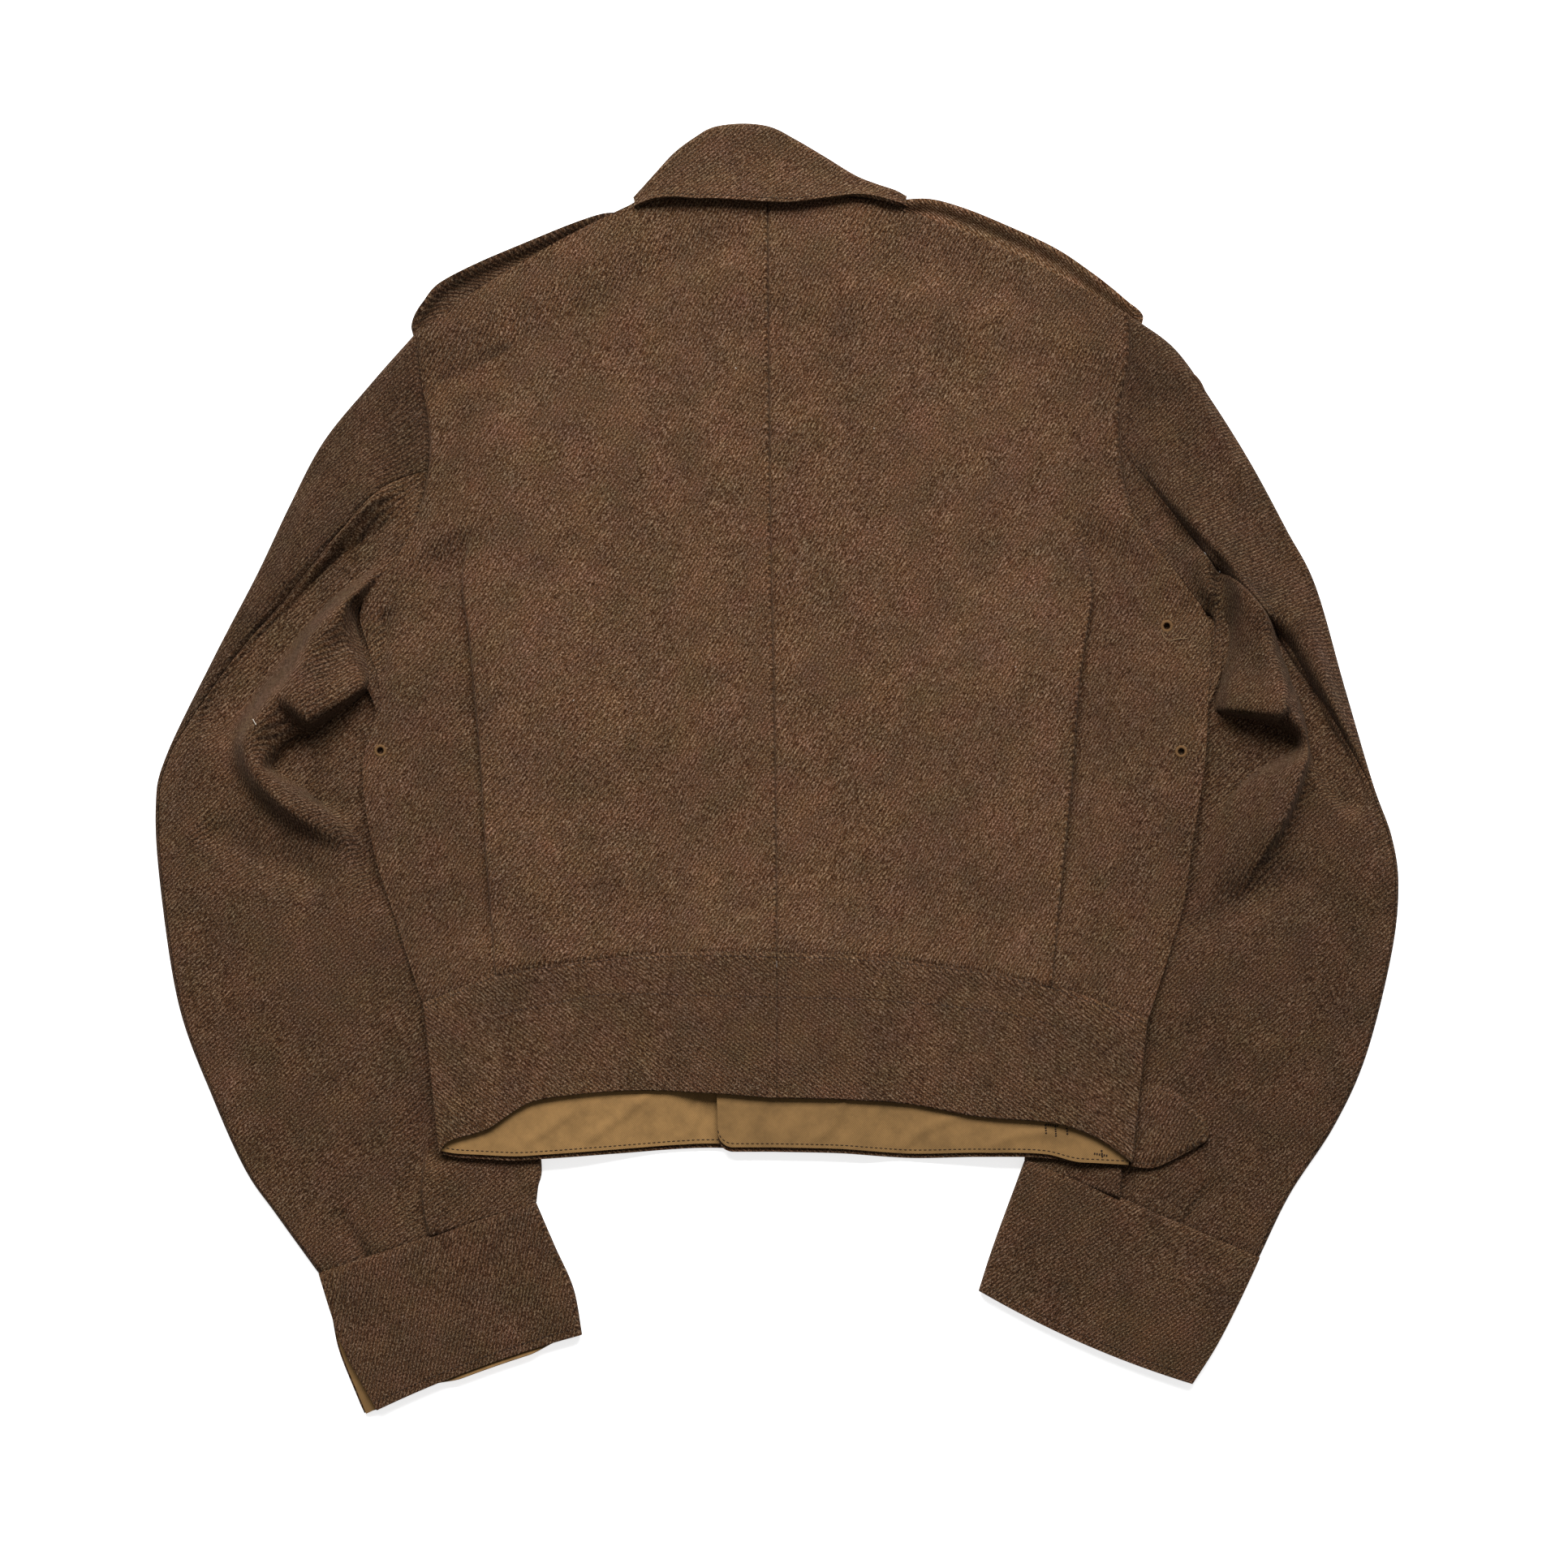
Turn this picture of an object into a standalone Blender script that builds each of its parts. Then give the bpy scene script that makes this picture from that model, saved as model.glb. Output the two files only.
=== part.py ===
"""Battle dress jacket lying flat and face down, its back upward, sleeves tucked under its sides.

Every piece of cloth is a wall of even thickness over a surface worked out from a few sizes and
from short tables, one row for each section. Sizes and tables are in millimetres and turn into
metres as each mesh is made. +X is the wearer's right, +Y the collar, +Z up from the surface that
the jacket lies on.
"""
from collections import namedtuple

import bpy
import numpy as np

for old in list(bpy.data.objects):
    bpy.data.objects.remove(old, do_unlink=True)

MM = 0.001

# Cloth
SERGE = 1.5
DOUBLED = 2.4
DRILL = 1.0
SEAM = 0.35
SLEEVE_SEAM = 0.5
ARMHOLE_SEAM = 0.9
SHOULDER_SEAM = 1.2
SHOULDER_SHARE = 0.12

# How the layers lie on each other
SLEEVE_HEIGHT = 6.0
SLEEVE_LEAST = 5.7
SLEEVE_EDGE = 2.8
SLANT_LEAST = 0.3
BODY_LIFT = 6.9
LIFT_RUN = 70.0
LIFT_LEAD = 8.0
LIFT_DROP = 50.0
UNDERARM_Y = 95.0
STRAP_LIFT = 3.4
STRAP_ROW = 0.85
STRAP_RUN = 0.95
NECK_SIDE = 30.0
NECK_RUN = 40.0
PANEL_GAP = 1.4
BAND_STACK = 5.0

# The right front on the left one, thicker at the waistband
FRONT_LAP = 2.0
BAND_LAP = 4.6
BAND_LAP_Y = -60.0
BAND_LAP_RUN = 45.0
LAP_LEFT_X = -66.0
LAP_LEFT_RUN = 26.0
LAP_RIGHT_X = 46.0
LAP_RIGHT_RUN = 30.0

# The sleeves where the body presses on them and where they leave the armholes
PRESS_REACH = 20.0
PRESS_RUN = 18.0
PRESS_DROP = 30.0
LOFT_RUN = 40.0
RELIEF_RUN = 14.0
SWAY_ROWS = 2.5
MEET_ROWS = 1.3
MEET_ROOM = 1.8

# Pleats
LAYER = 2.5
FOLD_ARC = np.pi * LAYER / 2
ARC_STEPS = 3
PLEAT_FADE = 0.35
PLEAT_FULL = 0.83
PLEAT_CLEAR = 6.0
PLEAT_TUCK = 1.0

# Seams
CENTRE_TOP_X = -5.5
CENTRE_WAIST_X = -0.2
SHOULDER_BOW = 4.5
WAIST_BOW = 4.5
FRONT_EDGE_X = {"left": 40.0, "right": -38.0}
THROAT_DROP = 45.0
FOREARM_SEAM = 0.72
HINDARM_LEAST = 6.0
WAIST_INSET = 3.0
EYELET = 4.5

SIGN = {"left": -1.0, "right": 1.0}

# One row for each section across the back, from the shoulder seam down to the waist seam: where
# it crosses the centre seam, the pleat's fold and the side edge, how far the pleat is turned
# (1 is folded flat) and how deep it is.
BackRow = namedtuple("BackRow", "centre_y pleat_x pleat_y side_x side_y turn depth")
BACK = {
    "left": [
        BackRow(341, -84, 334, -213, 257, 0.0, 1),
        BackRow(291, -117, 276, -210, 229, 0.0, 1),
        BackRow(243, -140, 229, -205, 191, 0.0, 1),
        BackRow(195, -164, 186, -210, 156, 0.0, 1),
        BackRow(147, -181, 145, -225, 124, 0.15, 1),
        BackRow(109, -185, 109, -245, 95, 0.95, 1.5),
        BackRow(75, -181, 78, -237, 71, 1.0, 4),
        BackRow(42, -178, 47, -236, 41, 1.0, 8),
        BackRow(3, -174, 3, -244, 1, 1.0, 12),
        BackRow(-45, -171, -45, -238, -46, 1.0, 16),
        BackRow(-78, -168, -82, -226, -85, 1.0, 19),
        BackRow(-110, -165, -121, -208, -140, 1.0, 21),
    ],
    "right": [
        BackRow(341, 64, 334, 207, 268, 0.0, 1),
        BackRow(291, 85, 276, 207, 241, 0.0, 1),
        BackRow(243, 114, 229, 202, 210, 0.0, 1),
        BackRow(195, 148, 186, 203, 179, 0.0, 1),
        BackRow(147, 176, 147, 212, 146, 0.15, 1),
        BackRow(109, 185, 108, 239, 111, 0.95, 1.5),
        BackRow(75, 181, 75, 255, 85, 1.0, 4),
        BackRow(42, 177, 44, 254, 47, 1.0, 8),
        BackRow(3, 174, 3, 252, 4, 1.0, 12),
        BackRow(-45, 169, -45, 245, -42, 1.0, 16),
        BackRow(-78, 165, -83, 238, -85, 1.0, 19),
        BackRow(-110, 161, -128, 218, -149, 1.0, 21),
    ],
}
UNDERARM_ROW = {"left": 5.0, "right": 5.75}
UNDERARM_REACH = {"left": 18.5, "right": 9.5}
REACH_ROWS = 0.7
REACH_END_ROW = 6.7
PUFF_ROW = 5.0
PUFF = 4.0
WAIST_ROW = len(BACK["left"]) - 1

# One row for each section down a sleeve, from the armhole to the cuff seam: its outer and inner
# fold, where the hind-arm seam lies on it as a share of its width, and how far it lofts.
SleeveRow = namedtuple("SleeveRow", "outer_x outer_y inner_x inner_y seam loft")
SLEEVE = {
    "left": [
        SleeveRow(-214, 259, -245, 95, 0.48, 3),
        SleeveRow(-241, 227, -252, 93, 0.46, 5),
        SleeveRow(-268, 193, -257, 87, 0.50, 6),
        SleeveRow(-288, 155, -259, 77, 0.43, 7),
        SleeveRow(-307, 115, -258, 62, 0.29, 7),
        SleeveRow(-333, 65, -249, 36, 0.10, 6),
        SleeveRow(-361, 7, -228, 2, 0.01, 5),
        SleeveRow(-367, -23, -196, -40, -0.02, 4),
        SleeveRow(-364, -72, -172, -80, -0.02, 3),
        SleeveRow(-353, -141, -155, -141, -0.02, 2),
        SleeveRow(-333, -195, -145, -191, -0.02, 1),
        SleeveRow(-314, -237, -139, -233, -0.02, 0),
        SleeveRow(-296, -263, -141, -247, -0.02, 0),
        SleeveRow(-270, -299, -142, -256, -0.02, 0),
    ],
    "right": [
        SleeveRow(208, 268, 255, 93, 0.45, 3),
        SleeveRow(235, 248, 261, 87, 0.62, 5),
        SleeveRow(257, 217, 264, 78, 0.72, 6),
        SleeveRow(280, 180, 266, 67, 0.65, 7),
        SleeveRow(301, 141, 265, 52, 0.53, 7),
        SleeveRow(318, 108, 256, 28, 0.38, 6),
        SleeveRow(335, 49, 236, -8, 0.16, 6),
        SleeveRow(352, -9, 208, -50, 0.01, 5),
        SleeveRow(363, -40, 188, -85, -0.02, 4),
        SleeveRow(367, -69, 176, -117, -0.02, 3),
        SleeveRow(363, -109, 168, -138, -0.02, 3),
        SleeveRow(348, -169, 159, -174, -0.02, 1),
        SleeveRow(329, -211, 151, -204, -0.02, 0),
        SleeveRow(303, -251, 147, -223, -0.02, 0),
        SleeveRow(284, -290, 146, -231, -0.02, 0),
    ],
}

# One row for each large fold under the arms: its ends, half width and height, troughs below nought.
FoldRow = namedtuple("FoldRow", "start_x start_y end_x end_y width height")
FOLDS = {
    "left": [
        FoldRow(-212, 175, -253, 146, 10, 4),
        FoldRow(-253, 146, -334, 50, 10, 4),
        FoldRow(-224, 143, -316, 56, 15, -5),
        FoldRow(-232, 116, -269, 87, 13, 9),
        FoldRow(-269, 87, -305, 27, 12, 8),
        FoldRow(-244, 42, -292, 13, 12, -11),
        FoldRow(-307, 6, -268, -35, 10, 5),
        FoldRow(-323, -40, -258, -69, 12, -3),
    ],
    "right": [
        FoldRow(216, 182, 260, 119, 10, 4),
        FoldRow(260, 119, 347, 8, 10, 4),
        FoldRow(294, 66, 347, -16, 11, -8),
        FoldRow(250, 106, 284, 71, 15, 8),
        FoldRow(284, 71, 307, 25, 13, 8),
        FoldRow(262, 36, 301, 27, 9, -9),
        FoldRow(264, 11, 294, 8, 13, -5),
        FoldRow(307, 20, 282, -42, 10, 5),
        FoldRow(248, -93, 308, -69, 10, -3),
    ],
}

# One row for each section down a cuff: its outer side, where the vent is, and its inner fold.
CuffRow = namedtuple("CuffRow", "outer_x outer_y inner_x inner_y")
CUFF = {
    "left": [
        CuffRow(-270, -299.5, -142, -256.5),
        CuffRow(-263, -322, -131, -282),
        CuffRow(-255, -344, -120, -307),
        CuffRow(-239, -377, -115, -334),
    ],
    "right": [
        CuffRow(284, -290.5, 146, -231.5),
        CuffRow(272, -316, 132, -269),
        CuffRow(259, -341, 125, -289),
        CuffRow(245, -363, 119, -308),
    ],
}
CUFF_HEIGHT = 6.8
CUFF_BOW = {"left": -3.0, "right": 4.0}
VENT_STEP = {"left": 5.0, "right": 0.0}
LINING_PEEP = 1.2

# One row for each section across the collar: its roll line and the free edge of its fall.
CollarRow = namedtuple("CollarRow", "x roll_y edge_y")
COLLAR = [
    CollarRow(-82, 339, 332),
    CollarRow(-72, 350, 335),
    CollarRow(-60, 363, 336),
    CollarRow(-48, 372, 335),
    CollarRow(-37, 378, 335),
    CollarRow(-20, 380, 334),
    CollarRow(-4, 378, 333),
    CollarRow(10, 371, 333),
    CollarRow(27, 361, 335),
    CollarRow(45, 350, 337),
    CollarRow(57, 345, 336),
    CollarRow(69, 341, 334),
    CollarRow(75, 338, 332),
]
STAND_Z = 7.4
FALL_Z = 11.6
COLLAR_END_X = {"left": -72.0, "right": 64.0}
COLLAR_END_INSET = 5.0
COLLAR_END_SEAM = 1.0

# One row for each section along a shoulder strap: its outer edge and the edge under the shoulder.
StrapRow = namedtuple("StrapRow", "outer_x outer_y inner_x inner_y")
STRAP = {
    "left": [
        StrapRow(-211, 271, -205, 238),
        StrapRow(-204, 282, -190, 248),
        StrapRow(-195, 289, -176, 254),
        StrapRow(-175, 299, -154, 264),
        StrapRow(-149, 310, -128, 275),
        StrapRow(-122, 321, -102, 287),
        StrapRow(-104, 327, -86, 293),
        StrapRow(-93, 328, -79, 298),
    ],
    "right": [
        StrapRow(205, 274, 199, 240),
        StrapRow(198, 282, 185, 247),
        StrapRow(185, 293, 168, 259),
        StrapRow(164, 307, 147, 272),
        StrapRow(134, 321, 119, 286),
        StrapRow(109, 331, 96, 295),
        StrapRow(89, 336, 79, 302),
        StrapRow(77, 336, 71, 306),
    ],
}

# One row for each section across the waistband, from the centre to the side: the hem of the back
# one and the lower edge of the front one below it.
HemRow = namedtuple("HemRow", "hem_x hem_y front_x front_y")
HEM = {
    "left": [
        HemRow(-2, -194, -2, -226),
        HemRow(-42, -191, -42, -224),
        HemRow(-91, -190, -91, -227),
        HemRow(-135, -194, -137, -230),
        HemRow(-152, -200, -155, -231),
        HemRow(-170, -212, -175, -230),
        HemRow(-192, -219, -189, -229),
        HemRow(-199, -226, -198, -227),
    ],
    "right": [
        HemRow(-2, -194, -2, -226),
        HemRow(39, -195, 39, -227),
        HemRow(78, -198, 78, -230),
        HemRow(118, -205, 118, -229),
        HemRow(157, -208, 150, -229),
        HemRow(178, -213, 172, -231),
        HemRow(194, -221, 190, -232),
        HemRow(209, -232, 207, -233),
    ],
}
BAND_ROWS = 4
LINING_TOP = 0.45
LINING_INSET = 0.96

# One row for each section along the waist tab, from its root to its point.
TabRow = namedtuple("TabRow", "upper_x upper_y lower_x lower_y")
TAB = [
    TabRow(214.5, -187, 208.5, -234),
    TabRow(228, -187, 221, -235),
    TabRow(237, -193, 233, -230),
    TabRow(254, -211, 254, -218),
]

# Worked eyelets under the arms, by side.
EYELETS = {"left": [(-233.5, 10.5)], "right": [(230.0, 84.0), (238.0, 10.0)]}

BROWN = (0.075, 0.050, 0.035, 1.0)
TAN = (0.42, 0.30, 0.17, 1.0)


def smooth(value):
    """Ease from 0 to 1 as the value goes from 0 to 1, level at both ends."""
    value = np.clip(value, 0.0, 1.0)
    return value * value * (3.0 - 2.0 * value)


def column(rows, name):
    """One named column of a table."""
    return np.array([getattr(row, name) for row in rows], dtype=float)


def through(values, place):
    """A smooth curve through a column's values; place counts rows from 0."""
    slopes = np.gradient(values)
    low = np.clip(np.floor(place).astype(int), 0, len(values) - 2)
    step = place - low
    rise = values[low + 1] - values[low]
    bend = step * (1.0 - step)
    return (values[low] + rise * step
            + bend * ((1.0 - step) * (slopes[low] - rise) - step * (slopes[low + 1] - rise)))


def points(rows, name, place):
    """Plan points of the edge whose columns are name_x and name_y."""
    across = through(column(rows, name + "_x"), place)
    up = through(column(rows, name + "_y"), place)
    return np.stack([across, up], axis=-1)


def between(start, end, share):
    """Points on the straight lines from start to end, one for each share."""
    return start + share[..., None] * (end - start)


def unit(vectors):
    """Plan vectors brought to length 1."""
    return vectors / np.linalg.norm(vectors, axis=-1, keepdims=True)


def with_height(plan, height):
    """Plan points and their heights as points in space."""
    return np.concatenate([plan, np.broadcast_to(height, plan.shape[:-1])[..., None]], axis=-1)


def facing(grid):
    """Unit normals of a grid of points, from the steps along its columns and rows."""
    return unit(np.cross(np.gradient(grid, axis=1), np.gradient(grid, axis=0)))


def cloth(name, grid, wall, side, colour, normal=None):
    """A closed wall of cloth over a grid; side -1, 0 or 1 puts it behind, about or before the grid."""
    normal = facing(grid) if normal is None else normal
    face = grid + normal * (wall * (1 + side) / 2)
    back = grid - normal * (wall * (1 - side) / 2)
    rows, cols = grid.shape[:2]
    index = np.arange(rows * cols).reshape(rows, cols)
    corners_of = [index[:-1, :-1], index[:-1, 1:], index[1:, 1:], index[1:, :-1]]
    quads = np.stack(corners_of, axis=-1).reshape(-1, 4)
    border = np.concatenate([index[0, :-1], index[:-1, -1], index[-1, :0:-1], index[:0:-1, 0]])
    onward = np.roll(border, -1)
    rim = np.stack([onward, border, border + index.size, onward + index.size], axis=1)
    faces = np.concatenate([quads, quads[:, ::-1] + index.size, rim])
    corners = np.concatenate([face.reshape(-1, 3), back.reshape(-1, 3)]) * MM
    mesh = bpy.data.meshes.new(name)
    mesh.from_pydata(corners.tolist(), [], faces.tolist())
    mesh.shade_smooth()
    mesh.set_sharp_from_angle(angle=np.radians(60))
    material = bpy.data.materials.new(name)
    material.use_nodes = True
    shader = material.node_tree.nodes["Principled BSDF"]
    shader.inputs["Base Color"].default_value = colour
    shader.inputs["Roughness"].default_value = 0.95
    shader.inputs["Metallic"].default_value = 0.0
    mesh.materials.append(material)
    piece = bpy.data.objects.new(name, mesh)
    bpy.context.scene.collection.objects.link(piece)
    return piece


def body_lift(plan):
    """Height of the body's floor side: nought in the middle, rising over each sleeve beneath it."""
    lift = 0.0
    for side, sign in SIGN.items():
        down = -column(SLEEVE[side], "inner_y")
        inner = np.interp(-plan[..., 1], down, sign * column(SLEEVE[side], "inner_x"))
        run = (sign * plan[..., 0] - inner + LIFT_LEAD + LIFT_RUN) / LIFT_RUN
        below = (UNDERARM_Y - plan[..., 1]) / LIFT_DROP
        lift = lift + BODY_LIFT * smooth(run) * smooth(below)
    return lift


def front_lap(plan):
    """Extra height where the right front lies on the left one, thicker at the waistband."""
    height = FRONT_LAP + (BAND_LAP - FRONT_LAP) * smooth((BAND_LAP_Y - plan[..., 1]) / BAND_LAP_RUN)
    left_run = smooth((plan[..., 0] - LAP_LEFT_X) / LAP_LEFT_RUN)
    right_run = 1.0 - smooth((plan[..., 0] - LAP_RIGHT_X) / LAP_RIGHT_RUN)
    return height * left_run * right_run


def strap_lift(place):
    """Extra height of both panels by the shoulder, over the straps."""
    return STRAP_LIFT * (1.0 - smooth((place - STRAP_ROW) / STRAP_RUN))


def back_height(plan, place):
    """Height of the middle of the back's wall where it lies plainly on the fronts."""
    waist = (BAND_STACK - SERGE - PANEL_GAP) * smooth(place - WAIST_ROW + 1.0)
    stack = body_lift(plan) + front_lap(plan) + strap_lift(place) + waist
    return stack + SERGE + PANEL_GAP + SERGE / 2


def underarm_puff(place, share):
    """Swell of the back towards the armhole, where the underarm folds start."""
    along = np.exp(-((place - PUFF_ROW) / 0.8) ** 2)
    return PUFF * along * smooth((share - 0.2) / 0.8)


def pleat_section(turn, depth):
    """Run and drop of the cloth round a knife pleat: one bend, a return and a bend back.

    The cloth's direction turns by the given angle over an arc of fixed length, keeps it for the
    depth of the pleat, and turns back over a second such arc.
    """
    eased = (np.arange(ARC_STEPS) + 0.5) / ARC_STEPS
    angle = np.pi * turn * np.concatenate([eased, [1.0, 1.0], 1.0 - eased])
    arc = np.full((len(turn), ARC_STEPS), FOLD_ARC / ARC_STEPS)
    length = np.concatenate([arc, depth / 2, depth / 2, arc], axis=1)
    start = np.zeros((len(turn), 1))
    run = np.concatenate([start, np.cumsum(length * np.cos(angle), axis=1)], axis=1)
    drop = np.concatenate([start, np.cumsum(length * np.sin(angle), axis=1)], axis=1)
    return run, drop


def centre_line(place):
    """Plan points of the centre-back seam."""
    up = through(column(BACK["left"], "centre_y"), place)
    across = CENTRE_TOP_X + (CENTRE_WAIST_X - CENTRE_TOP_X) * smooth(place / WAIST_ROW)
    return np.stack([across, up], axis=-1)


def bowed(plan, share, bow):
    """Plan points lifted towards the collar between the two ends of their row."""
    lifted = plan.copy()
    lifted[..., 1] += bow * 4.0 * share * (1.0 - share)
    return lifted


def back_half(side):
    """One half of the back: a flat panel, the knife pleat, and the side panel under it."""
    rows = BACK[side]
    spans = [np.linspace(0, 3.8, 8), np.linspace(4.1, 5.3, 6), np.linspace(5.7, WAIST_ROW, 11)]
    place = np.concatenate(spans)[:, None]
    centre = centre_line(place)
    centre[..., 0] += SIGN[side] * SEAM / 2
    pleat = points(rows, "pleat", place)
    edge = points(rows, "side", place)
    outward = unit(pleat - centre)
    turn = np.clip(through(column(rows, "turn"), place), 0.0, 1.0)
    run, drop = pleat_section(turn, through(column(rows, "depth"), place))
    start = pleat - outward * run.max(axis=1)[:, None, None]

    middle_share = np.linspace(0, 1, 7)[None, :-1]
    shoulder_bow = SHOULDER_BOW * np.clip(1.0 - place, 0, 1) ** 2
    waist_bow = WAIST_BOW * np.clip(place - WAIST_ROW + 1.0, 0, 1) ** 2
    middle = between(centre, start, middle_share)
    fold = start + outward * run[..., None]
    hidden = pleat + unit(edge - pleat) * PLEAT_TUCK
    clear = pleat + unit(edge - pleat) * PLEAT_CLEAR
    side_share = np.linspace(0, 1, 6)[None, :]
    side_part = bowed(between(clear, edge, side_share), side_share, shoulder_bow)

    full = drop[:, -1:]
    above = [full * smooth((middle_share - PLEAT_FADE) / (PLEAT_FULL - PLEAT_FADE)),
             full - drop,
             np.zeros((len(place), 1)),
             underarm_puff(place, side_share)]
    plan = np.concatenate([middle, fold, hidden, side_part], axis=1)
    across = np.clip((plan[..., 0] - centre[..., 0]) / (pleat - centre)[..., 0], 0, 1)
    plan = bowed(plan, across, waist_bow)
    height = back_height(plan, place) + np.concatenate(above, axis=1)
    grid = with_height(plan, height)
    return cloth("back_" + side, grid if side == "left" else grid[:, ::-1], SERGE, 0, BROWN)


def underarm_reach(side, place):
    """How far the front stands out past the back's side edge, under the arm."""
    start = smooth((place - UNDERARM_ROW[side]) / REACH_ROWS)
    return UNDERARM_REACH[side] * start * (1.0 - smooth((place - REACH_END_ROW) / REACH_ROWS))


def front_half(side):
    """One front, hidden under the back: from its edge at the centre to the side seam."""
    rows = BACK[side]
    place = np.concatenate([np.linspace(0, 7.5, 16), np.linspace(8.2, WAIST_ROW, 4)])[:, None]
    edge_y = through(column(rows, "centre_y"), place) - THROAT_DROP * np.clip(1.0 - place, 0, 1)
    centre = np.stack([np.full_like(edge_y, FRONT_EDGE_X[side]), edge_y], axis=-1)
    share = np.linspace(0, 1, 10)[None, :-1]
    middle = between(centre, points(rows, "pleat", place), share)
    side_share = np.linspace(0, 1, 4)[None, :]
    edge = points(rows, "side", place)
    edge[..., 0] += SIGN[side] * underarm_reach(side, place)
    side_part = between(points(rows, "pleat", place), edge, side_share)
    side_part = bowed(side_part, side_share, SHOULDER_BOW * np.clip(1.0 - place, 0, 1) ** 2)
    plan = np.concatenate([middle, side_part], axis=1)
    beside_neck = smooth((np.abs(plan[..., 0]) - NECK_SIDE) / NECK_RUN)
    height = body_lift(plan) + strap_lift(place) * beside_neck
    if side == "right":
        height = height + front_lap(plan)
    grid = with_height(plan, height)
    return cloth("front_" + side, grid if side == "left" else grid[:, ::-1], SERGE, 1, BROWN)


def fold_relief(side, plan):
    """Heights of the large folds: each a soft ridge or trough about a straight line."""
    relief = np.zeros(plan.shape[:-1])
    for fold in FOLDS[side]:
        start = np.array([fold.start_x, fold.start_y])
        line = np.array([fold.end_x, fold.end_y]) - start
        length = np.linalg.norm(line)
        along = (plan - start) @ line / length
        aside = (plan - start) @ np.array([-line[1], line[0]]) / length
        past = np.maximum(np.maximum(-along, along - length), 0.0)
        relief += fold.height * np.exp(-(aside ** 2 + past ** 2) / fold.width ** 2)
    return relief


def pressed(side, plan):
    """How far the body lies on the sleeve: 1 under it, 0 well outside its side edge."""
    down = -column(BACK[side], "side_y")
    edge = np.interp(-plan[..., 1], down, SIGN[side] * column(BACK[side], "side_x"))
    inside = (edge + PRESS_REACH - SIGN[side] * plan[..., 0]) / PRESS_RUN
    return smooth(inside) * smooth((UNDERARM_Y - plan[..., 1]) / PRESS_DROP)


def fold_width(side, place, fold):
    """Length of a section over which its fold rounds, longer where the two meet aslant."""
    rows = SLEEVE[side]
    across = unit(points(rows, "inner", place) - points(rows, "outer", place))
    along = unit(points(rows, fold, place + 0.05) - points(rows, fold, place - 0.05))
    slant = np.abs(across[..., 0] * along[..., 1] - across[..., 1] * along[..., 0])
    return SLEEVE_EDGE / np.maximum(slant, SLANT_LEAST)


def sleeve_surface(side, place, ring):
    """Points on a sleeve's flattened tube.

    The ring counts widths: 0 to 1 runs from the outer fold over the top to the inner fold, below 0
    and above 1 it runs along the floor. The first section follows the armhole and meets the two
    body panels, and the sections after it straighten out.
    """
    rows = SLEEVE[side]
    share = np.where(ring < 0, -ring, np.where(ring > 1, 2.0 - ring, ring))
    upper = (ring >= 0) & (ring <= 1)
    outer = points(rows, "outer", place)
    inner = points(rows, "inner", place)
    plan = between(outer, inner, share)
    reach = np.linalg.norm(inner - outer, axis=-1)

    armhole = points(BACK[side], "side", share * UNDERARM_ROW[side])
    start = np.zeros_like(place)
    sway = armhole - between(points(rows, "outer", start), points(rows, "inner", start), share)
    onward = unit(points(BACK[side], "side", share * UNDERARM_ROW[side] + 0.01) - armhole)
    clear = ARMHOLE_SEAM + SHOULDER_SEAM * (1.0 - smooth(share / SHOULDER_SHARE))
    sway += SIGN[side] * clear[..., None] * np.stack([-onward[..., 1], onward[..., 0]], axis=-1)
    plan = plan + sway * (np.clip(1.0 - place / SWAY_ROWS, 0, 1) ** 2)[..., None]

    to_edge = np.minimum(share, 1.0 - share) * reach
    width = np.where(share < 0.5, fold_width(side, place, "outer"), fold_width(side, place, "inner"))
    swell = np.sqrt(1.0 - (1.0 - np.clip(to_edge / width, 0, 1)) ** 2)
    free = 1.0 - pressed(side, plan)
    loft = through(column(rows, "loft"), place) * smooth(to_edge / LOFT_RUN)
    loft = loft + fold_relief(side, plan) * smooth(to_edge / RELIEF_RUN)
    top = np.maximum(SLEEVE_HEIGHT + free * loft, SLEEVE_LEAST)

    row = share * UNDERARM_ROW[side]
    meet = 1.0 - smooth(place / MEET_ROWS)
    back_top = back_height(armhole, row) + underarm_puff(row, np.ones_like(row)) + SERGE
    front_under = np.maximum(body_lift(armhole) + strap_lift(row) - MEET_ROOM, 0.0)
    top = top + meet * (back_top - top)
    bottom = meet * front_under
    middle = (np.minimum(top, SLEEVE_HEIGHT) + bottom) / 2
    height = np.where(upper, middle + (top - middle) * swell, middle - (middle - bottom) * swell)
    return with_height(plan, height)


def sleeve_half(name, side, place, ring):
    """Part of a sleeve between two of its seams, faced by the slopes of the whole tube."""
    grid = sleeve_surface(side, place, ring)
    around = sleeve_surface(side, place, ring + 0.002) - sleeve_surface(side, place, ring - 0.002)
    down = sleeve_surface(side, place + 0.02, ring) - sleeve_surface(side, place - 0.02, ring)
    normal = -SIGN[side] * unit(np.cross(down, around))
    if side == "left":
        grid, normal = grid[:, ::-1], normal[:, ::-1]
    return cloth(name, grid, SERGE, -1, BROWN, normal)


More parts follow.
